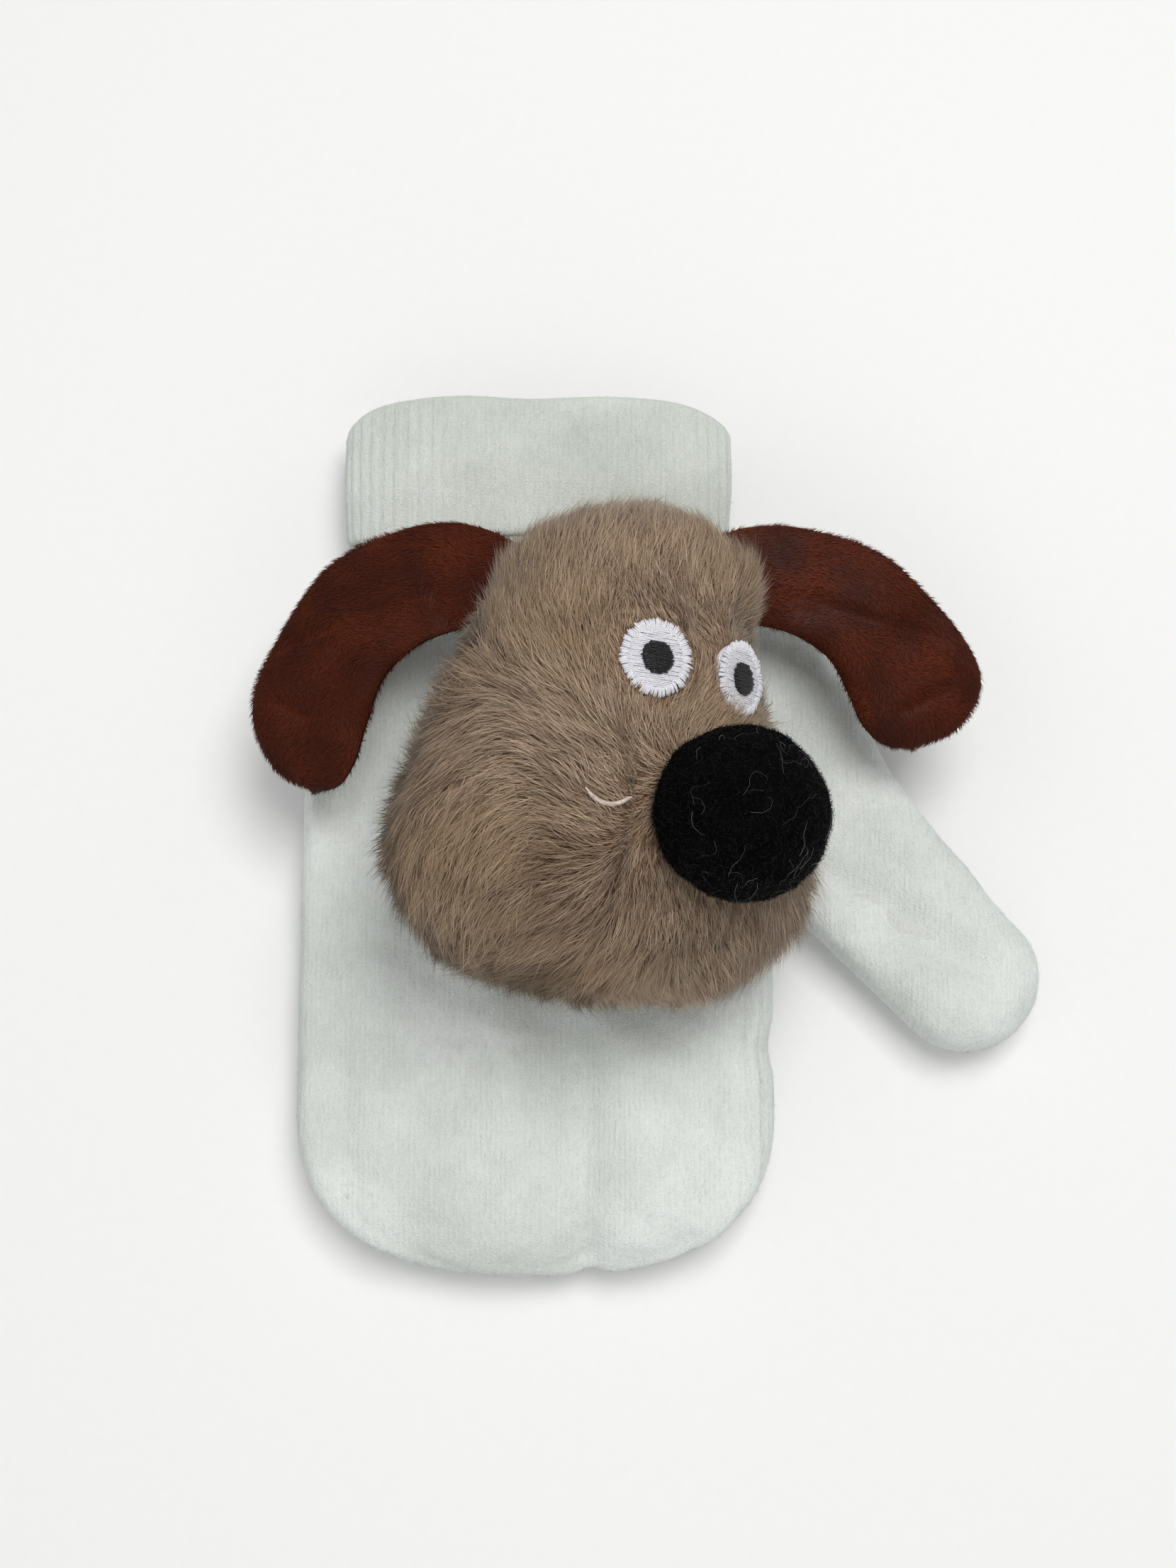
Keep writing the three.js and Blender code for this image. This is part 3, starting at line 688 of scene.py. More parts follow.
# %% Head form
HEAD_CENTRE = np.array([13.5, 88.0, 54.0])
HEAD_TURN, HEAD_TILT = math.radians(38), math.radians(-4)
CROWN_SLUMP = 8.0
SEAT, SEAT_SLOPE = np.array([17.0, 102.0, 27.4]), math.tan(math.radians(14))
PROFILE = spline([(0, -30), (30.4, -24.9), (45.6, -9.9), (47.5, 7.7), (39.8, 27.7), (32.0, 46.2),
                  (26.5, 64.5), (0, 77)], 400)
NOSE_RADIUS, NOSE_STAND, NOSE_UP = 18.4, 9.7, 3.0
EYE_RADIUS, PUPIL_RADIUS, EYE_SPREAD, EYE_UP = 7.7, 3.4, 11.0, 37.0
MOUTH_SPREAD, MOUTH_UP, MOUTH_LENGTH = 20.5, 6.0, 8.0
PLUSH_WALL, GUSSET_HALF, BACK_SEAM = 2.0, 13.5, 8.0

turn = np.array([[math.cos(HEAD_TURN), 0, math.sin(HEAD_TURN)], [0, 1, 0],
                 [-math.sin(HEAD_TURN), 0, math.cos(HEAD_TURN)]])
tilt = np.array([[math.cos(HEAD_TILT), -math.sin(HEAD_TILT), 0],
                 [math.sin(HEAD_TILT), math.cos(HEAD_TILT), 0], [0, 0, 1]])
HEAD_AXES = tilt @ turn


def from_head(points):
    """Head millimetres (x across, y to the crown, z out of the face) to mitten millimetres. The
    crown has slumped towards the thumb: above the eyes, x grows by a smooth step of the height.
    The lower cheek on the thumb's side bulges as the head's weight presses on it."""
    slump = CROWN_SLUMP * ease(points[..., 1], 40, 84)
    turned = points @ HEAD_AXES.T + HEAD_CENTRE
    bulge = 5.0 * ease(turned[..., 0], 28, 56) * bump_at(turned[..., 1], 78, 26)
    bulge = bulge * (1 - ease(turned[..., 2], 66, 84))
    return turned + np.stack([slump + bulge, 0.35 * slump, 0 * slump], axis=-1)


def head_section(step):
    """Height, half-width and half-depth at a step 0..1 along the profile."""
    place = np.clip(step, 0, 1) * (len(PROFILE) - 1)
    number = np.arange(len(PROFILE))
    wide = np.interp(place, number, PROFILE[:, 0])
    up = np.interp(place, number, PROFILE[:, 1])
    return up, np.maximum(wide, 0), wide * (0.66 + 0.26 * ease(up, 0, 57.75))


def head_skin(step, angle, inset):
    """Point on the head's skin: (w sin a, y, d cos a), moved in along the normal."""
    up, wide, deep = head_section(step)
    up_b, wide_b, deep_b = head_section(step + 0.004)
    up_a, wide_a, deep_a = head_section(step - 0.004)
    point = np.stack([wide * np.sin(angle), up + 0 * angle, deep * np.cos(angle)], axis=-1)
    round_way = np.stack([wide * np.cos(angle), 0 * angle, -deep * np.sin(angle)], axis=-1)
    up_way = np.stack([(wide_b - wide_a) * np.sin(angle), up_b - up_a + 0 * angle,
                       (deep_b - deep_a) * np.cos(angle)], axis=-1)
    pole = np.stack([0 * angle, np.sign(step - 0.5) + 0 * angle, 0 * angle], axis=-1)
    normal = np.cross(up_way, round_way)
    size = np.linalg.norm(normal, axis=-1, keepdims=True)
    normal = np.where(size > 1e-4, -normal / np.maximum(size, 1e-9), pole)
    normal *= np.sign((normal * (point - np.array([0, 10, 0]))).sum(-1, keepdims=True) + 1e-9)
    return point - normal * np.asarray(inset)[..., None], normal


def step_at(height):
    """The profile step whose height is nearest."""
    return float(np.interp(height, PROFILE[:, 1], np.linspace(0, 1, len(PROFILE))))


def face_spot(across, up):
    """Point and normal of the face at a place, in the head's millimetres."""
    _, wide, deep = head_section(np.array(step_at(up)))
    out = deep * math.sqrt(1 - (across / wide) ** 2)
    return np.array([across, up, out]), unit(np.array([across / wide**2, 0, out / deep**2]))


def nearness(points):
    """Distances of head points from the eyes, the mouth stitches and the nose."""
    eyes = [np.linalg.norm(points - face_spot(side * EYE_SPREAD, EYE_UP)[0], axis=-1) for side in (-1, 1)]
    mouths = [np.linalg.norm(points - face_spot(side * MOUTH_SPREAD, MOUTH_UP)[0], axis=-1) for side in (-1, 1)]
    nose = np.linalg.norm(points - face_spot(0, NOSE_UP)[0], axis=-1)
    return np.minimum(*eyes), np.minimum(*mouths), nose


PILE_ROOM = 3.2


def skin_inset(points):
    """The pile stands over 3 mm beyond it, so the skin lies that far in, and less where it is short."""
    eye, mouth, nose = nearness(points)
    shallow = np.minimum(ease(eye, 8, 17), 0.45 + 0.55 * ease(mouth, 5, 13))
    return 0.6 + (PILE_ROOM - 0.6) * shallow


def pressed(points):
    """Lifts mitten points onto the shallow cone on which the head rests, with a soft corner."""
    reach = np.hypot(points[..., 0] - SEAT[0], points[..., 1] - SEAT[1])
    floor_here = SEAT[2] + 1.2 + SEAT_SLOPE * reach
    gap = points[..., 2] - floor_here
    soft = 4.0
    lifted = floor_here + np.where(gap > soft, gap, np.where(gap < -soft, 0, (gap + soft) ** 2 / (4 * soft)))
    return np.concatenate([points[..., :2], lifted[..., None]], axis=-1)


def skin_at(step, angle, wall=0.0):
    """The stuffed skin in mitten millimetres: inset, dimpled, seamed and pressed flat below."""
    bare, _ = head_skin(step, angle, 0 * (step + angle))
    inset = skin_inset(bare) + wall
    inset = inset - 0.9 * waves(bare, 26, 41) * 0.6 - 0.25 * waves(bare, 9, 42)
    seam = np.minimum(np.abs(np.abs(bare[..., 0]) - GUSSET_HALF) + 50 * (bare[..., 2] < -BACK_SEAM),
                      np.abs(bare[..., 2] + BACK_SEAM))
    inset = inset + 0.9 * bump_at(seam, 0, 1.6)
    point, _ = head_skin(step, angle, inset)
    return pressed(from_head(point)) + np.array([0, 0, wall * 0.4])


print("eye spot", face_spot(EYE_SPREAD, EYE_UP)[0].round(1))

# %% Panels of the head
def panel_angles(step, panel, share):
    """The turn round the head of a panel's point, from its share 0..1 across the panel."""
    _, wide, deep = head_section(step)
    back = np.arccos(np.clip(-BACK_SEAM / np.maximum(deep, 1e-6), -1, 1))
    front = np.minimum(np.arcsin(np.clip(GUSSET_HALF / np.maximum(wide, 1e-6), 0, 1)), back)
    low, high = {"gusset": (-front, front), "right": (front, back), "left": (-back, -front),
                 "back": (back, 2 * np.pi - back)}[panel]
    return low + (high - low) * share


def shell_of_grids(outer, inner):
    """Points and quads of a closed shell from two grids of the same shape."""
    rows, columns = outer.shape[:2]
    index = np.arange(rows * columns).reshape(rows, columns)
    quads = np.stack([index[:-1, :-1], index[:-1, 1:], index[1:, 1:], index[1:, :-1]], axis=-1).reshape(-1, 4)
    loop = np.concatenate([index[0], index[1:, -1], index[-1, -2::-1], index[-2:0:-1, 0]])
    ahead, count = np.roll(loop, -1), rows * columns
    rim = np.stack([ahead, loop, loop + count, ahead + count], axis=1)
    points = np.vstack([outer.reshape(-1, 3), inner.reshape(-1, 3)])
    return points, [quads, quads[:, ::-1] + count, rim]


def cleaned(mesh, gap=1e-5):
    """Merges doubles, drops faces without area, and turns every face outward."""
    work = bmesh.new()
    work.from_mesh(mesh)
    bmesh.ops.remove_doubles(work, verts=work.verts, dist=gap)
    bmesh.ops.dissolve_degenerate(work, edges=work.edges, dist=gap)
    bmesh.ops.recalc_face_normals(work, faces=work.faces)
    work.to_mesh(mesh)
    work.free()
    mesh.shade_smooth()
    return mesh


PANELS = {"gusset": ("face_gusset", 44), "left": ("left_cheek_panel", 60),
          "right": ("right_cheek_panel", 60), "back": ("head_back_panel", 90)}
pile_skin, skin_place, skin_shader = new_material("tan_plush_backing")
skin_tone = skin_place.noise(0.25, 3).within(0.3, 0.7)
# Painted shade: the backing is coloured darker than most of the pile, so gaps between the strands read as
# shade.
finish_material(skin_shader, {
    "Base Color": skin_tone.blend(linear(120, 90, 66), linear(150, 118, 92)),
    "Roughness": skin_tone * 0.08 + 0.9,
    "Normal": raised(skin_place.noise(2.2, 2), 0.4),
}, {"Sheen Weight": 0.3, "Specular IOR Level": 0.1})
for panel, (node, columns) in PANELS.items():
    step, share = np.meshgrid(np.linspace(0.0, 1.0, 110), np.linspace(0, 1, columns), indexing="ij")
    angle = panel_angles(step, panel, share)
    points, faces = shell_of_grids(skin_at(step, angle), skin_at(step, angle, PLUSH_WALL))
    mesh = cleaned(mesh_of(node + "_backing", placed(points), faces), 2e-5)
    skin = piece_of(mesh, pile_skin)
    settle(skin, "head", "tan_back_plush" if panel == "back" else "tan_plush", node,
           *(["head_stuffing"] if panel == "back" else []))
    print(node, "volume", round(signed_volume(mesh) * 1e6, 1), "cm3")

# %% [markdown]
# **Long pile.** Plush is thousands of fine fibres in small tufts that all lean one way. Each
# strand is a closed, curved, tapering three-sided spike. They lean outward from the middle of
# the face, and neighbours in one tuft lean together. The pile is short round the eyes.

# %% Strands from arrays
def strands(roots, ups, leans, lengths, widths, stages):
    """Spikes: root + length * (up * rise(t) + lean * reach(t)), three corners at each stage and
    one at the tip. Stages are the shares t of the rings; rise and reach bend the spike over."""
    count = len(roots)
    side = unit(np.cross(ups, leans + 1e-6))
    front = unit(np.cross(ups, side))
    rings = []
    for t in stages:
        bend = ups * (t - 0.38 * t * t) + leans * (0.62 * t * t + 0.3 * t)
        rings.append(roots + lengths[:, None] * bend)
    tip = roots + lengths[:, None] * (ups * 0.62 + leans * 0.92)
    corners = []
    for middle, t in zip(rings, stages):
        width = widths[:, None] * (1 - 0.55 * t)
        for turn_by in (0, 2 * math.pi / 3, 4 * math.pi / 3):
            corners.append(middle + width * (side * math.cos(turn_by) + front * math.sin(turn_by)))
    points = np.stack(corners + [tip], axis=1)
    per = points.shape[1]
    start = (np.arange(count) * per)[:, None, None]
    quads, tris = [], [[0, 2, 1]]
    last = 3 * (len(stages) - 1)
    for ring in range(len(stages) - 1):
        a = 3 * ring
        quads += [[a + k, a + (k + 1) % 3, a + 3 + (k + 1) % 3, a + 3 + k] for k in range(3)]
    tris += [[last + k, last + (k + 1) % 3, last + 3] for k in range(3)]
    blocks = [np.array(quads)[None] + start if quads else np.zeros((0, 1, 4), int),
              np.array(tris)[None] + start]
    return points.reshape(-1, 3), [blocks[0].reshape(-1, 4), blocks[1].reshape(-1, 3)], per


def tufts(points, size, seed):
    """Every point's tuft number: its cell in a wavy grid of the given size."""
    wavy = points + size * 0.5 * np.stack([waves(points, size * 4, seed + k) for k in range(3)], axis=1)
    _, number = np.unique(np.floor(wavy / size).astype(int), axis=0, return_inverse=True)
    return number.ravel()


def tuft_mean(values, number):
    """The mean of each tuft's values, given back to every member."""
    total = np.stack([np.bincount(number, values[:, k]) for k in range(values.shape[1])], axis=1)
    return (total / np.bincount(number)[:, None])[number]


def shade_mesh(mesh, per, tones, shares):
    """Stores each strand's tone and each corner's share of its length as an attribute."""
    colour = np.zeros((len(tones), per, 4), np.float32)
    colour[..., 0] = tones[:, None]
    colour[..., 1] = np.asarray(shares)[None, :]
    colour[..., 3] = 1
    mesh.attributes.new("pile", "FLOAT_COLOR", "POINT").data.foreach_set("color", colour.ravel())


rng = np.random.default_rng(7)
print("sampler ready")

# %% Grow the head's pile
PILE_COUNT, PILE_LENGTH = 92000, 10.4
grid_step, grid_turn = np.meshgrid(np.linspace(0.004, 0.996, 241), np.linspace(-np.pi, np.pi, 321),
                                   indexing="ij")
skin_grid = skin_at(grid_step, grid_turn)
step_edge, turn_edge = skin_grid[1:, :-1] - skin_grid[:-1, :-1], skin_grid[:-1, 1:] - skin_grid[:-1, :-1]
cell_normal = np.cross(turn_edge, step_edge)
cell_area = np.linalg.norm(cell_normal, axis=-1)
cell_normal = cell_normal / np.maximum(cell_area, 1e-9)[..., None]
outward_way = skin_grid[:-1, :-1] - from_head(np.array([0, 12.0, -4]))
cell_normal *= np.sign((cell_normal * outward_way).sum(-1, keepdims=True))
seen = 0.25 + 0.75 * ease(cell_normal[..., 2], -0.95, -0.2)
chosen = rng.choice(cell_area.size, PILE_COUNT, p=(cell_area * seen).ravel() / (cell_area * seen).sum())
row, column = np.unravel_index(chosen, cell_area.shape)
a, b = rng.uniform(0, 1, (2, PILE_COUNT, 1))
roots = skin_grid[row, column] + a * step_edge[row, column] + b * turn_edge[row, column]
ups = cell_normal[row, column]
in_head = (roots - HEAD_CENTRE) @ HEAD_AXES
eye_gap, mouth_gap, nose_gap = nearness(in_head)
MOUTH_SPOT = from_head(face_spot(-MOUTH_SPREAD, MOUTH_UP)[0])
in_head_up = ups @ HEAD_AXES
centre = np.array([0, 16.0, 0])
radial = in_head - centre
radial[:, 2] *= 0.25
radial = unit(radial) + np.stack([0.5 * waves(in_head, 34, 51), 0.5 * waves(in_head, 34, 52), 0 * a[:, 0]],
                                 axis=1)
radial += np.array([0, -0.35, 0]) * ease(-in_head[:, 1], -22, 10)[:, None]
radial -= (radial * in_head_up).sum(1, keepdims=True) * in_head_up
leans = unit(radial) @ HEAD_AXES.T
number = tufts(roots, 2.6, 61)
lean_noise = rng.normal(0, 0.2, (PILE_COUNT, 3))
tuft_noise = rng.normal(0, 0.13, (number.max() + 1, 3))[number]
leans = leans + lean_noise + tuft_noise
leans = unit(leans - (leans * ups).sum(1, keepdims=True) * ups)
lengths = PILE_LENGTH * (rng.uniform(0.62, 1.08, PILE_COUNT) + 0.32 * (rng.uniform(0, 1, PILE_COUNT) > 0.9))
short = np.minimum(0.34 + 0.66 * ease(eye_gap, 7.5, 19), 0.82 + 0.18 * ease(mouth_gap, 3, 8))
lengths *= np.minimum(short, 0.55 + 0.45 * ease(nose_gap, 12, 24))
lengths *= 1 - 0.5 * ease(-ups[:, 2], 0.2, 0.9) - 0.18 * ease(in_head[:, 1], 20, 60)
gathered = (tuft_mean(roots, number) - roots) * 0.2
upright = rng.uniform(0.42, 0.8, (PILE_COUNT, 1))
bent_ups = ups * upright + gathered / np.maximum(lengths, 1)[:, None]
keep = eye_gap > EYE_RADIUS - 0.6
pile_points, _, pile_per = strands(roots[keep], bent_ups[keep], leans[keep] * 0.8, lengths[keep],
                                   rng.uniform(0.07, 0.14, keep.sum()), (0.0, 0.5))
print("strands", keep.sum(), "tufts", number.max() + 1)

# %% Pile finish and pieces
def pile_material(name, root, dark, light, warm, sheen):
    """Darker at the root, as painted shade deep in the pile, toned strand by strand, with broad patches of a
    warmer colour.
    """
    material, place, shader = new_material(name)
    pile = place.node("ShaderNodeAttribute", {"attribute_name": "pile"}, out="Color")
    split = pile.node("ShaderNodeSeparateColor", None, {0: pile}, out=0)
    share = Wire(split.tree, split.socket.node.outputs[1])
    body = split.blend(linear(*dark), linear(*light))
    patch = place.noise(0.03, 2).within(0.4, 0.62)
    body = (patch * 0.4).node("ShaderNodeMix", {"data_type": "RGBA"},
                              {0: patch * 0.4, 6: body, 7: (*linear(*warm), 1)}, out=2)
    # Painted shade: each strand runs from the root colour at its foot to its own tone towards the tip, standing
    # for the shade deep in the pile.
    colour = share.within(-0.1, 0.7).blend(linear(*root), body)
    finish_material(shader, {"Base Color": colour, "Roughness": split * 0.15 + 0.55},
                    {"Sheen Weight": sheen, "Sheen Roughness": 0.4, "Specular IOR Level": 0.28})
    return material


# Its first colour is the painted shade at the roots of the tan pile.
tan_pile = pile_material("tan_plush_pile", (84, 62, 47), (118, 94, 75), (206, 181, 155), (176, 148, 112), 0.1)
pile_points = pile_points.reshape(-1, pile_per, 3)
# The pile is darker in a patch a little below and to the left of the left mouth stitch.
darker_patch = MOUTH_SPOT + np.array([-9.0, -12.0, 0])
darker_patch_gap = np.linalg.norm((roots[keep] - darker_patch) * np.array([0.8, 1.1, 0]), axis=1)
tones = np.clip(rng.normal(0.52, 0.3, keep.sum()) + rng.normal(0, 0.1, number.max() + 1)[number][keep]
                - 0.28 * bump_at(darker_patch_gap, 0, 8), 0, 1)
head_place = in_head[keep]
behind = head_place[:, 2] < -BACK_SEAM
middle_strip = np.abs(head_place[:, 0]) < GUSSET_HALF
soft_ups = unit(ups[keep] + 0.3 * leans[keep] + 0.12 * rng.normal(size=(keep.sum(), 3)))
left_side, low_half = head_place[:, 0] < 0, head_place[:, 1] < 10
cheeks = ~behind & ~middle_strip
pile_zones = {
    "gusset_pile_low": ~behind & middle_strip & low_half,
    "gusset_pile_high": ~behind & middle_strip & ~low_half,
    "left_cheek_pile_low": cheeks & left_side & low_half,
    "left_cheek_pile_high": cheeks & left_side & ~low_half,
    "right_cheek_pile_low": cheeks & ~left_side & low_half,
    "right_cheek_pile_high": cheeks & ~left_side & ~low_half,
    "back_pile_left_low": behind & left_side & low_half,
    "back_pile_left_high": behind & left_side & ~low_half,
    "back_pile_right": behind & ~left_side,
}


def lone_strand(levels):
    """The faces of one strand, which every strand of a piece repeats."""
    return strands(np.zeros((1, 3)), np.array([[0, 0, 1.0]]), np.array([[1.0, 0, 0]]), np.ones(1), np.ones(1),
                   levels)[1]


one_strand = lone_strand((0.0, 0.5))


def pile_piece(name, points, strand_faces, tones, shares, material, ups=None):
    """One mesh of many strands, from their points (strand, corner, 3) and one strand's faces.
    With ups, every strand takes the shading normal of the skin or cloth it grows from."""
    count, per = points.shape[:2]
    start = (np.arange(count) * per)[:, None, None]
    faces = [(block[None] + start).reshape(-1, block.shape[1]) for block in strand_faces if len(block)]
    mesh = mesh_of(name, placed(points.reshape(-1, 3)), faces)
    shade_mesh(mesh, per, tones, shares)
    if ups is not None:
        mesh.normals_split_custom_set_from_vertices(np.repeat(ups, per, axis=0))
    return piece_of(mesh, material)


for name, zone in pile_zones.items():
    pile = pile_piece(name, pile_points[zone], one_strand, tones[zone], (0, 0, 0, 0.5, 0.5, 0.5, 1),
                      tan_pile, soft_ups[zone])
    settle(pile, "head", "tan_back_plush" if "back" in name else "tan_plush")

# %% [markdown]
# **Ears.** Two layers of short velvety plush, sewn round the edge and turned out, with a little
# filling between. Each layer is a grid between the ear's two edges, from root to lobe. It swells
# between the seams and is pinched by a crease. The nap is short closed spikes over the layer.

# %% Ear layers
EAR_UPPER = spline([(-11, 6.5), (-3, 11.0), (6, 13.2), (18, 12.5), (36, 6.0), (50, -9.5), (57, -25.9),
                    (52, -39), (41.5, -45)], 91)
EAR_LOWER = spline([(-9, -8), (3, -10.5), (13.5, -13.5), (22, -21.0), (26.5, -31), (29.5, -39),
                    (34.5, -44.2), (41.5, -45)], 91)
EAR_STRETCH = {"left": (0.93, 0.97), "right": (0.97, 0.80)}
EAR_PLACES = {"left": (-1, 20, "left_ear_root_stitches"), "right": (1, 3, "right_ear_root_stitches")}


def ear_grid(side, share_along, share_across, face):
    """Between the edges: lower + (upper - lower) v, with swelling (4v(1-v))^0.5 towards face."""
    reach, hang = EAR_STRETCH[side]
    place = share_along * (len(EAR_UPPER) - 1)
    number = np.arange(len(EAR_UPPER))
    upper = np.stack([np.interp(place, number, EAR_UPPER[:, k]) for k in (0, 1)], axis=-1)
    lower = np.stack([np.interp(place, number, EAR_LOWER[:, k]) for k in (0, 1)], axis=-1)
    flat = lower + (upper - lower) * share_across[..., None]
    flat *= np.stack([np.where(flat[..., 0] > 0, reach, 1), np.where(flat[..., 1] < 0, hang, 1)], axis=-1)
    lobe = np.sqrt(np.clip(1 - share_along, 0, 1)) * 1.35
    swell = np.sqrt(np.clip(4 * share_across * (1 - share_across), 0, 1)) ** 0.9
    fill = np.minimum(lobe, 1) * (1.4 + 2.6 * ease(share_along, 0.1, 0.55))
    height = fill * swell * face + 0.2 * face
    points = np.concatenate([flat, height[..., None]], axis=-1)
    wave_flat = points * np.array([1, 1, 0.0])
    points[..., 2] += 0.45 * waves(wave_flat, 22, 71) * np.minimum(lobe, 1)
    gap, share = line_gap(points.reshape(-1, 3), (8, -2), (50, -14))
    crease = bump_at(gap, 0, 2.2) * ease(share, 0, 0.3) * (1 - ease(share, 0.75, 1))
    gap_b, share_b = line_gap(points.reshape(-1, 3), (34, -30), (50, -22))
    crease += 0.8 * bump_at(gap_b, 0, 1.8) * ease(share_b, 0, 0.3) * (1 - ease(share_b, 0.7, 1))
    points[..., 2] -= 1.3 * crease.reshape(gap.shape if points.ndim == 2 else points.shape[:2]) * face
    points[..., 2] += 2.2 * np.sin(np.pi * ease(share_along, 0, 1)) - 1.5 * ease(share_along, 0.6, 1)
    return points


def from_ear(side, points):
    """Ear millimetres to mitten millimetres, about the middle of the ear's root stitches."""
    sign, droop, root_node = EAR_PLACES[side]
    low, high = (np.array(corner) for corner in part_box(root_node))
    root = ((low + high) / 2 - HAND_ORIGIN) / MM
    angle = math.radians(sign * droop)
    x, y, z = points[..., 0] * sign, points[..., 1], points[..., 2]
    return np.stack([x * math.cos(angle) + z * math.sin(angle), y,
                     z * math.cos(angle) - x * math.sin(angle)], axis=-1) + root


def velvet_material(name, dark, light, warm):
    """Short plush: patches painted lighter and darker, as painted sheen where the nap leans another way."""
    material, place, shader = new_material(name)
    # Painted sheen: these broad patches stand for velvet catching the light where its nap leans another way;
    # the fine noise is the plush's own grain.
    brushed = place.noise(0.09, 2, (1, 1, 0.5)).within(0.38, 0.62)
    fine = place.noise(1.6, 3).within(0.25, 0.75)
    colour = (brushed * 0.55 + fine * 0.45).blend(linear(*dark), linear(*light))
    warmed = (place.noise(0.04, 1).within(0.4, 0.7) * 0.4)
    colour = warmed.node("ShaderNodeMix", {"data_type": "RGBA"},
                         {0: warmed, 6: colour, 7: (*linear(*warm), 1)}, out=2)
    finish_material(shader, {"Base Color": colour, "Roughness": fine * 0.12 + 0.72,
                             "Normal": raised(fine, 0.35)},
                    {"Sheen Weight": 0.1, "Sheen Roughness": 0.35, "Sheen Tint": (1, 0.55, 0.35, 1),
                     "Specular IOR Level": 0.1})
    return material


ear_velvet = velvet_material("brown_plush_velvet", (58, 22, 10), (92, 40, 22), (84, 32, 15))
EAR_NAP = 2.1
one_nap = lone_strand((0.0,))
# Its first colour is the painted shade at the roots of the ear's nap.
ear_pile = pile_material("ear_pile", (40, 12, 2), (68, 23, 6), (118, 50, 21), (94, 34, 10), 0.0)
for side in ("left", "right"):
    for layer, face in (("front", 1), ("back", -1)):
        share_along, share_across = np.meshgrid(
            np.linspace(0, 1, 90), 0.5 - 0.5 * np.cos(np.linspace(0, np.pi, 46)), indexing="ij")
        outer = ear_grid(side, share_along, share_across, face)
        inner = outer.copy()
        inner[..., 2] -= face * 0.9 * np.sqrt(np.clip(4 * share_across * (1 - share_across), 0, 1))
        points, faces = shell_of_grids(from_ear(side, outer), from_ear(side, inner))
        mesh = cleaned(mesh_of(f"{side}_ear_{layer}_layer", placed(points), faces), 2e-5)
        ear = settle(piece_of(mesh, ear_velvet), f"{side}_ear", "brown_plush", f"{side}_ear_{layer}_plush")
        print(mesh.name, "volume", round(signed_volume(mesh) * 1e6, 2), "cm3")

        count = 18000 if layer == "front" else 8000
        dense = np.meshgrid(np.linspace(0.003, 0.997, 161), np.linspace(0.004, 0.996, 81), indexing="ij")
        grid = from_ear(side, ear_grid(side, *dense, face))
        edge_a, edge_b = grid[1:, :-1] - grid[:-1, :-1], grid[:-1, 1:] - grid[:-1, :-1]
        normal = np.cross(edge_a, edge_b)
        area = np.linalg.norm(normal, axis=-1)
        normal = normal / np.maximum(area, 1e-9)[..., None]
        normal *= np.sign(normal[..., 2:] * face + 1e-9)
        picked = rng.choice(area.size, count, p=area.ravel() / area.sum())
        row, column = np.unravel_index(picked, area.shape)
        a, b = rng.uniform(0, 1, (2, count, 1))
        nap_roots = grid[row, column] + a * edge_a[row, column] + b * edge_b[row, column]
        nap_ups = normal[row, column]
        nap_leans = unit(edge_a[row, column]) + rng.normal(0, 0.3, (count, 3))
        nap_leans += 0.7 * np.stack([waves(nap_roots, 13, 81), waves(nap_roots, 13, 82), 0 * a[:, 0]], axis=1)
        nap_leans = unit(nap_leans - (nap_leans * nap_ups).sum(1, keepdims=True) * nap_ups)
        lengths_here = EAR_NAP * rng.uniform(0.6, 1.1, count)
        nap, _, nap_per = strands(nap_roots, nap_ups * 0.75, nap_leans * 0.75, lengths_here,
                                  rng.uniform(0.09, 0.15, count), (0.0,))
        # Each nap strand's tone varies at random and in broad patches; the patches are painted sheen, as the
        # velvet looks where its nap leans another way.
        tone_and_nap_sheen = np.clip(0.5 + 0.3 * waves(nap_roots, 12, 83) + rng.normal(0, 0.2, count), 0, 1)
        nap_mesh = pile_piece(f"{side}_ear_{layer}_nap", nap.reshape(-1, nap_per, 3), one_nap, tone_and_nap_sheen,
                              (0, 0, 0, 1), ear_pile, unit(nap_ups + 0.35 * nap_leans))
        settle(nap_mesh, f"{side}_ear", "brown_plush")

# %% [markdown]
# **The nose** is a ball of black wool felt: a sphere with gentle lumps and a skin of short fuzz,
# with a few pale curly fibres caught in it. It is held on by a bundle of thread.

# %% Felt nose
felt, felt_place, felt_shader = new_material("black_wool_felt")
felt_fine = felt_place.noise(1.1, 4).within(0.25, 0.75)
felt_broad = felt_place.noise(0.2, 2).within(0.35, 0.65)
finish_material(felt_shader, {
    "Base Color": (felt_fine * 0.7 + felt_broad * 0.3).blend(linear(1, 1, 1), linear(12, 12, 13)),
    "Roughness": felt_fine * 0.1 + 0.88,
    "Normal": raised(felt_fine, 0.5),
}, {"Sheen Weight": 0.0, "Specular IOR Level": 0.03})
nose_spot, _ = face_spot(0, NOSE_UP)
NOSE_MIDDLE = nose_spot + np.array([3.2, 3.8, NOSE_STAND])
NOSE_SHAPE = np.array([1, 0.96, 0.92]) * (NOSE_RADIUS - 0.5)


def nose_surface(polar, round_way):
    """A sphere scaled to the ball's three radii, with lumps along its radius."""
    ball = np.stack([np.sin(polar) * np.cos(round_way), np.cos(polar),
                     np.sin(polar) * np.sin(round_way)], axis=-1)
    lump = (1 + 0.012 * waves(ball * 18, 16, 91) + 0.008 * waves(ball * 18, 5, 92)
            + 0.004 * waves(ball * 18, 2, 93))
    return ball * NOSE_SHAPE * lump[..., None] + NOSE_MIDDLE, ball


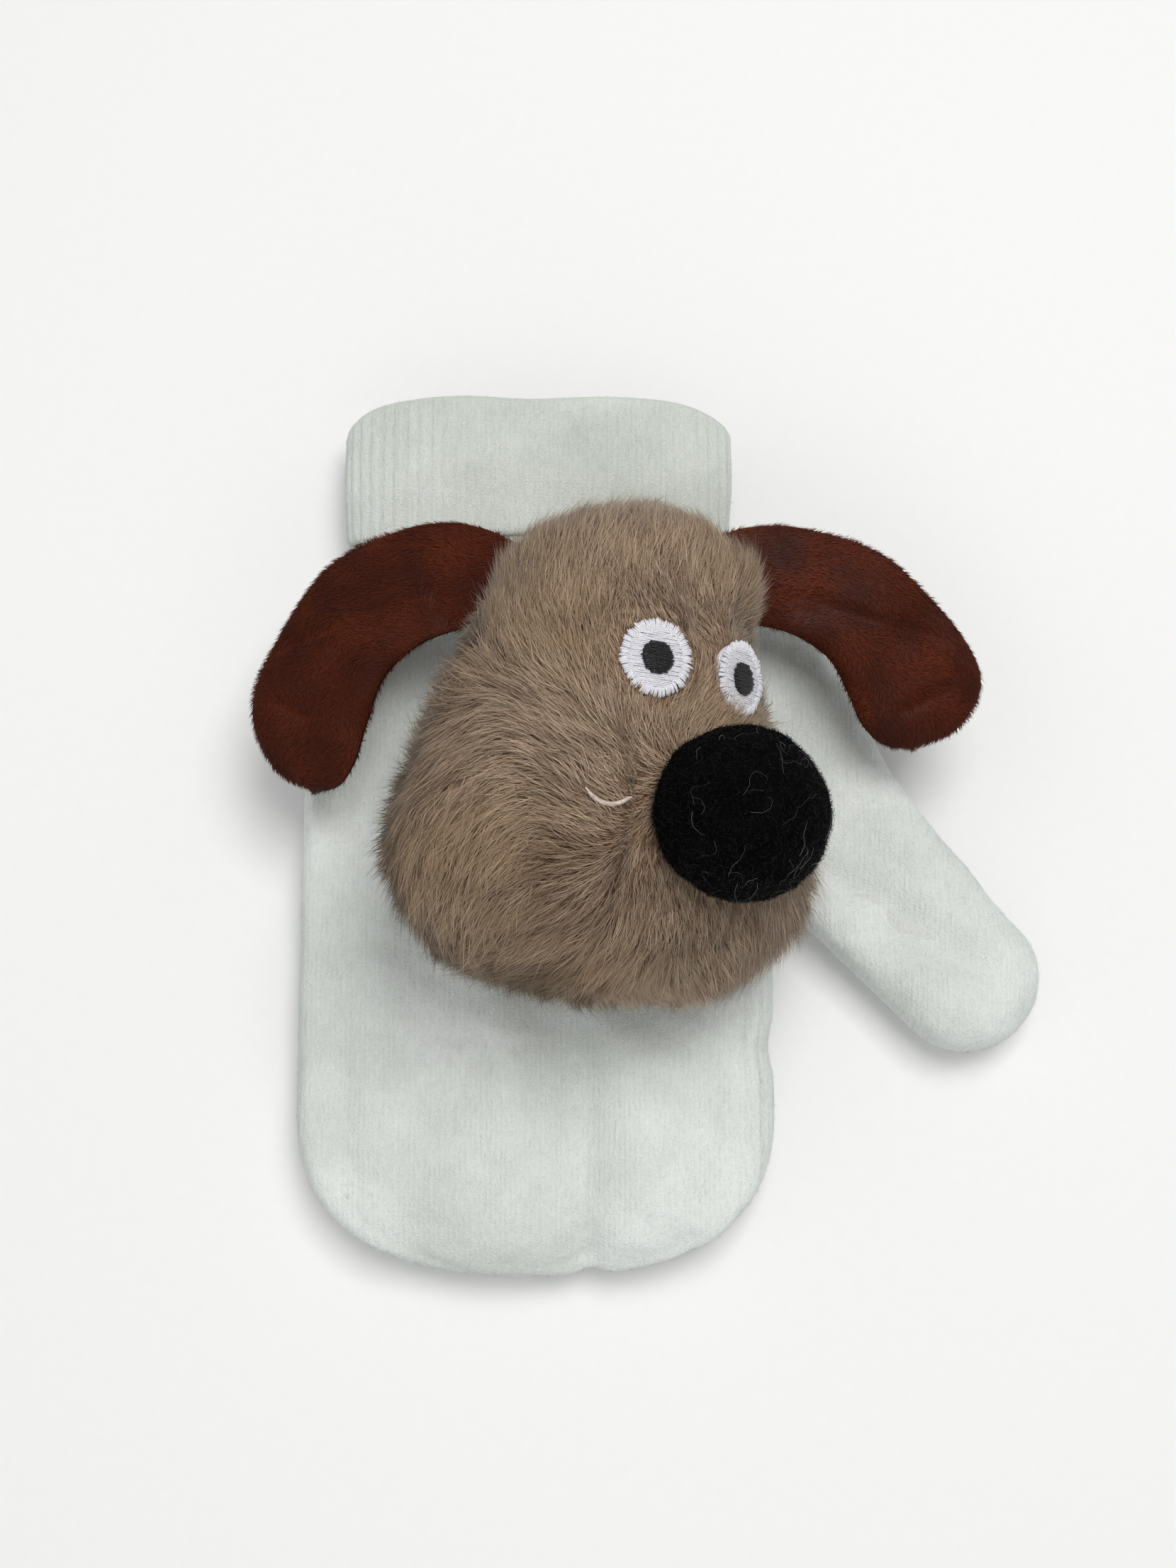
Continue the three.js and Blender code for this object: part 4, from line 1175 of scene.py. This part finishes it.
polar, round_way = np.meshgrid(np.linspace(0.02, np.pi - 0.02, 110),
                               np.linspace(0, 2 * np.pi, 180, endpoint=False), indexing="ij")
nose_points, nose_faces = closed_tube(nose_surface(polar, round_way)[0])
nose = piece_of(cleaned(mesh_of("felt_nose_ball", placed(from_head(nose_points)), nose_faces)), felt)
settle(nose, "head", "black_felt", "felt_nose")
print("nose volume", round(signed_volume(nose.data) * 1e6, 1), "cm3")

FUZZ_COUNT = 6500
fuzz_polar = np.arccos(rng.uniform(-1, 1, FUZZ_COUNT))
fuzz_round = rng.uniform(0, 2 * np.pi, FUZZ_COUNT)
fuzz_roots, fuzz_ups = nose_surface(fuzz_polar, fuzz_round)
fuzz_leans = unit(np.cross(fuzz_ups, rng.normal(size=(FUZZ_COUNT, 3))))
fuzz, _, fuzz_per = strands(fuzz_roots, fuzz_ups * 0.55, fuzz_leans * 0.9, rng.uniform(0.8, 2.2, FUZZ_COUNT),
                            rng.uniform(0.05, 0.09, FUZZ_COUNT), (0.0, 0.5))
felt_fibre = pile_material("black_felt_fibre", (0, 0, 0), (1, 1, 1), (12, 12, 13), (4, 4, 4), 0.0)
fuzz_piece = pile_piece("felt_nose_fuzz", from_head(fuzz).reshape(-1, fuzz_per, 3), one_strand,
                        rng.uniform(0, 1, FUZZ_COUNT) ** 2, (0, 0, 0, 0.5, 0.5, 0.5, 1), felt_fibre)
settle(fuzz_piece, "head", "black_felt")


def tubes(paths, radii, sides=5):
    """Closed round tubes along many paths (count, steps, 3); radii are (count, steps)."""
    count, steps = paths.shape[:2]
    ahead = unit(np.gradient(paths, axis=1))
    helper = np.where(np.abs(ahead[..., 2:]) < 0.9, np.array([0, 0, 1.0]), np.array([1.0, 0, 0]))
    side = unit(np.cross(ahead, helper))
    up = np.cross(ahead, side)
    angle = np.linspace(0, 2 * np.pi, sides, endpoint=False)
    ring = paths[:, :, None] + radii[..., None, None] * (side[:, :, None] * np.cos(angle)[:, None]
                                                         + up[:, :, None] * np.sin(angle)[:, None])
    index = np.arange(steps * sides).reshape(steps, sides)
    right = np.roll(index, -1, axis=1)
    quads = np.stack([index[:-1], right[:-1], right[1:], index[1:]], axis=-1).reshape(-1, 4)
    caps = np.stack([index[0, ::-1], index[-1]])
    start = (np.arange(count) * steps * sides)[:, None, None]
    return ring.reshape(-1, 3), [(quads[None] + start).reshape(-1, 4), (caps[None] + start).reshape(-1, sides)]


CURL_COUNT, CURL_STEPS = 52, 16
curl_t = np.linspace(0, 1, CURL_STEPS)
curl_heading = rng.uniform(0, 2 * np.pi, (CURL_COUNT, 1)) + np.cumsum(
    rng.normal(0, 0.35, (CURL_COUNT, CURL_STEPS)) + rng.normal(0, 0.12, (CURL_COUNT, 1)), axis=1)
curl_step = rng.uniform(0.012, 0.035, (CURL_COUNT, 1))
curl_polar = rng.uniform(0.6, 2.6, (CURL_COUNT, 1)) + np.cumsum(np.cos(curl_heading) * curl_step, axis=1)
curl_round = (rng.uniform(0.2, np.pi - 0.2, (CURL_COUNT, 1))
              + np.cumsum(np.sin(curl_heading) * curl_step, axis=1))
curl_points, curl_ups = nose_surface(curl_polar, curl_round)
curl_lift = 0.35 + 0.9 * np.sin(np.pi * curl_t)[None] * rng.uniform(0, 1, (CURL_COUNT, 1)) ** 2
curl_points = curl_points + unit(curl_ups) * curl_lift[..., None]
curl_radius = np.repeat(0.018 + 0.03 * rng.uniform(0, 1, (CURL_COUNT, 1)) ** 2, CURL_STEPS, axis=1)
curl_radius = curl_radius * (1 - 0.6 * curl_t)
pale_fibre, pale_place, pale_shader = new_material("pale_fibre")
finish_material(pale_shader, {"Roughness": pale_place.noise(0.5, 2) * 0.2 + 0.5},
                {"Base Color": (*linear(112, 112, 114), 1), "Specular IOR Level": 0.3})
curl_tubes = tubes(curl_points, curl_radius, 4)
curl_mesh = mesh_of("felt_nose_curls", placed(from_head(curl_tubes[0])), curl_tubes[1])
settle(piece_of(curl_mesh, pale_fibre), "head", "black_felt")

# %% [markdown]
# **Embroidered eyes and mouth.** Satin stitch is rows of thread laid side by side. The white of
# each eye is rows across a disc with a ring of short stitches square to its edge; the pupil is a
# smaller disc of black rows. Every stitch is a real closed tube that dips at both ends.

# %% Stitches
def thread_material(name, dark, light, sheen):
    """Rayon thread: painted highlight along its length, painted shade between its fine twisted plies."""
    material, place, shader = new_material(name)
    ply = place.noise(3.5, 2, (1, 1, 1)).within(0.3, 0.7)
    # Painted highlight and painted shade: the colour runs from the darker to the lighter tone with the ply
    # noise.
    finish_material(shader, {"Base Color": ply.blend(linear(*dark), linear(*light)),
                             "Roughness": ply * 0.15 + 0.32, "Normal": raised(ply, 0.08)},
                    {"Sheen Weight": sheen, "Specular IOR Level": 0.5})
    return material


white_thread = thread_material("white_embroidery_thread", (206, 204, 212), (246, 246, 250), 0.2)
black_thread = thread_material("black_embroidery_thread", (5, 5, 6), (20, 20, 22), 0.05)
mouth_thread = thread_material("mouth_embroidery_thread", (204, 186, 174), (234, 222, 212), 0.2)
tan_sewing = thread_material("tan_sewing_thread", (112, 88, 66), (150, 124, 98), 0.2)


def on_patch(spot, normal, across, up, out):
    """Places across, up and out of a patch, at a spot of the face with a normal."""
    right = unit(np.cross(np.array([0, 1.0, 0]), normal))
    above = np.cross(normal, right)
    return spot + across[..., None] * right + up[..., None] * above + out[..., None] * normal


def satin_rows(radius, pitch, thread, base, crown, seed, wobble=0.12):
    """Rows of stitches across a disc: path (x, row height, base + crown (1 - (x/half)^4))."""
    dice = np.random.default_rng(seed)
    rows = np.arange(-radius + pitch * 0.6, radius - pitch * 0.4, pitch)
    half = np.sqrt(radius**2 - rows**2)
    t = np.linspace(-1, 1, 9)
    x = half[:, None] * t + dice.normal(0, wobble, (len(rows), 1))
    y = rows[:, None] + dice.normal(0, 0.04, (len(rows), 9)) + 0 * x
    out = base + crown * (1 - t**4)[None] + dice.normal(0, 0.04, (len(rows), 1))
    return x, y, out, np.full_like(x, thread)


def rim_stitches(inner, outer, count, thread, base, seed):
    """Short stitches square to a circle: (r cos a, r sin a), high in the middle of each."""
    dice = np.random.default_rng(seed)
    angle = np.linspace(0, 2 * np.pi, count, endpoint=False)[:, None] + dice.normal(0, 0.012, (count, 1))
    t = np.linspace(0, 1, 6)
    radius = inner + dice.normal(0, 0.14, (count, 1)) + (outer - inner + dice.normal(0, 0.14, (count, 1))) * t
    out = base + 0.55 * np.sin(np.pi * np.clip(t * 1.05, 0, 1)) + dice.normal(0, 0.04, (count, 1))
    return radius * np.cos(angle), radius * np.sin(angle), out, np.full_like(radius, thread)


def disc(radius, base, top, spot, normal, name, material):
    """A closed low dome under the stitches."""
    polar, round_way = np.meshgrid(np.linspace(0.03, np.pi - 0.03, 24),
                                   np.linspace(0, 2 * np.pi, 64, endpoint=False), indexing="ij")
    flat = radius * np.sin(polar) ** 0.6
    out = (base + top) / 2 + (top - base) / 2 * np.cos(polar)
    points = on_patch(spot, normal, flat * np.cos(round_way), flat * np.sin(round_way), out)
    points, faces = closed_tube(points)
    return piece_of(cleaned(mesh_of(name, placed(from_head(points)), faces)), material)


def stitched(name, blocks, spot, normal, material):
    """One piece from several blocks of stitches on a patch."""
    points, faces, start = [], [[], []], 0
    for x, y, out, radius in blocks:
        path = on_patch(spot, normal, x, y, out)
        block_points, block_faces = tubes(path, radius, 6)
        points.append(block_points)
        for kept, block in zip(faces, block_faces):
            kept.append(block + start)
        start += len(block_points)
    mesh = mesh_of(name, placed(from_head(np.vstack(points))), [np.vstack(block) for block in faces])
    return piece_of(mesh, material)


for side, sign in (("left", -1), ("right", 1)):
    spot, normal = face_spot(sign * EYE_SPREAD, EYE_UP)
    backing = disc(EYE_RADIUS - 0.5, -2.6, 1.0, spot, normal, f"{side}_eye_pad", white_thread)
    white = stitched(f"{side}_eye_satin", [
        satin_rows(EYE_RADIUS - 0.9, 0.4, 0.21, 0.95, 0.25, 100 + sign),
        rim_stitches(EYE_RADIUS - 2.1, EYE_RADIUS + 0.1, 104, 0.22, 0.75, 110 + sign),
    ], spot, normal, white_thread)
    pupil_pad = disc(PUPIL_RADIUS - 0.2, 1.0, 1.75, spot, normal, f"{side}_pupil_pad", black_thread)
    pupil = stitched(f"{side}_pupil_satin", [satin_rows(PUPIL_RADIUS, 0.36, 0.2, 1.6, 0.35, 120 + sign, 0.2)],
                     spot, normal, black_thread)
    settle(backing, "head", "white_embroidery")
    settle(white, "head", "white_embroidery", f"{side}_eye_white")
    settle(pupil_pad, "head", "black_embroidery")
    settle(pupil, "head", "black_embroidery", f"{side}_pupil")

    share = np.linspace(-0.5, 0.5, 19)
    across = sign * (MOUTH_SPREAD + share * MOUTH_LENGTH)
    rise = MOUTH_UP + share**2 * 7
    spots = np.array([face_spot(x, y)[0] for x, y in zip(across, rise)])
    mouth_normal = face_spot(sign * MOUTH_SPREAD, MOUTH_UP)[1]
    slant = unit(np.gradient(spots, axis=0)) * 0.8 + np.array([0, 0.4, 0])
    t = np.linspace(-1, 1, 7)
    mouth_paths = (spots[:, None] + slant[:, None] * t[:, None]
                   + mouth_normal * (0.8 + 0.3 * (1 - t**2))[:, None])
    mouth_points, mouth_faces = tubes(mouth_paths, np.full((19, 7), 0.19), 6)
    mouth = piece_of(mesh_of(f"{side}_mouth_satin", placed(from_head(mouth_points)), mouth_faces), mouth_thread)
    settle(mouth, "head", "mouth_embroidery", f"{side}_mouth_stitch")

# %% [markdown]
# **Hidden sewing.** Loops of strong tan thread hold the head to the hand, the ears to the head
# and the nose to the face. Each is a path that winds as a hand-sewn stitch does.

# %% Sewing threads
def wound(path, normal, turns, reach, radius, name):
    """A thread that winds round a path: path + reach (side cos + normal sin)."""
    ahead = unit(np.gradient(path, axis=0))
    side = unit(np.cross(ahead, normal))
    turn_by = np.linspace(0, 2 * np.pi * turns, len(path))
    line = path + reach * (side * np.cos(turn_by)[:, None]
                           + np.broadcast_to(normal, path.shape) * np.sin(turn_by)[:, None])
    points, faces = tubes(line[None], np.full((1, len(line)), radius), 6)
    return piece_of(mesh_of(name, placed(points), faces), tan_sewing)


RING_RADIUS = 9.0
ring_turn = np.linspace(0, 2 * np.pi * 0.995, 900)
ring_path = np.stack([SEAT[0] + RING_RADIUS * np.cos(ring_turn), SEAT[1] + RING_RADIUS * np.sin(ring_turn),
                      np.full(900, THICKNESS + 1.1)], axis=1)
ring_sewing = wound(ring_path, np.array([0, 0, 1.0]), 34, 1.1, 0.32, "head_stitches")
settle(ring_sewing, "stitching", "tan_thread", "head_stitch_ring")
for side in ("left", "right"):
    root = from_ear(side, np.array([[0.0, 0, 0]]))[0]
    root_path = root + np.stack([np.zeros(500), np.linspace(-10.8, 10.8, 500), np.zeros(500)], axis=1)
    sewing = wound(root_path, np.array([0, 0, 1.0]), 15, 0.95, 0.3, f"{side}_ear_stitches")
    settle(sewing, "head", "tan_thread", f"{side}_ear_root_stitches")
anchor_path = from_head(nose_spot + np.stack([np.zeros(300), np.zeros(300), np.linspace(-8, 6, 300)], axis=1))
nose_sewing = wound(anchor_path, HEAD_AXES @ np.array([0, 1.0, 0]), 12, 1.3, 0.3, "nose_stitches")
settle(nose_sewing, "head", "tan_thread", "nose_thread")

# %% [markdown]
# **The nap.** Brushing pulls fine fibres out of the knit. Short, thin closed spikes lie every way
# over the mitten and the cuff; they soften the outline and catch the light here and there.

# %% Nap fibres on the knit
NAP_LENGTH, NAP_WIDTH = 1.7, 0.05


def scattered(points, faces, count, dice):
    """Random places over quads by area: a corner plus shares of two edges, and the face normal."""
    quads = faces[0]
    origin, one, two = (points[quads[:, k]] for k in (0, 1, 3))
    normal = np.cross(one - origin, two - origin)
    area = np.linalg.norm(normal, axis=1)
    pick = dice.choice(len(quads), count, p=area / area.sum())
    a, b = dice.uniform(0, 1, (2, count, 1))
    return (origin[pick] + a * (one - origin)[pick] + b * (two - origin)[pick],
            unit(normal[pick]))


def knit_nap(name, points, faces, count, body, slot, dice):
    """Spikes that lie close to the cloth, a few standing up."""
    roots_here, ups_here = scattered(points, faces, count, dice)
    leans_here = unit(np.cross(ups_here, dice.normal(size=(count, 3))))
    stand = 0.25 + 0.5 * dice.uniform(0, 1, (count, 1)) ** 3
    points_here, _, per = strands(roots_here, ups_here * stand, leans_here * 0.95,
                                  NAP_LENGTH * dice.uniform(0.5, 1.3, count),
                                  NAP_WIDTH * dice.uniform(0.6, 1.3, count), (0.0,))
    points_here[:, 2] = np.maximum(points_here[:, 2], 0.02)
    piece = pile_piece(name, points_here.reshape(-1, per, 3), one_nap, np.full(count, 0.5),
                       (0, 0, 0, 1), nap_fibre,
                       ups_here)
    return settle(piece, body, slot)


nap_dice = np.random.default_rng(23)
hand_faces = part_faces(cloth_points, cloth_faces, False)
thumb_faces = part_faces(cloth_points, cloth_faces, True)
knit_nap("hand_and_finger_nap", cloth_points, hand_faces, 36000, FINGER_BEND, "brushed_knit", nap_dice)
knit_nap("thumb_nap", cloth_points, thumb_faces, 10000, THUMB_BEND, "brushed_knit", nap_dice)
cuff_grid = looped(cuff_points)
cuff_flat = cuff_points.reshape(-1, 3)
knit_nap("cuff_nap", cuff_flat, [cuff_grid], 12000, "mitten", "ribbed_knit", nap_dice)

# %% [markdown]
# The floor is a plain pale sheet.

# %% Floor and finish
FLOOR_HALF = 3.0
floor_corners = np.array([[-1, -1, 0], [1, -1, 0], [1, 1, 0], [-1, 1, 0]]) * FLOOR_HALF
floor_paint, floor_place, floor_shader = new_material("floor_paper")
grain = floor_place.noise(0.3, 2)
finish_material(floor_shader, {
    "Base Color": grain.blend(linear(243, 243, 242), linear(246, 246, 245)),
    "Roughness": grain * 0.05 + 0.9,
}, {"Specular IOR Level": 0.1})
floor = piece_of(mesh_of("floor", floor_corners, [np.array([[0, 1, 2, 3]])]), floor_paint)
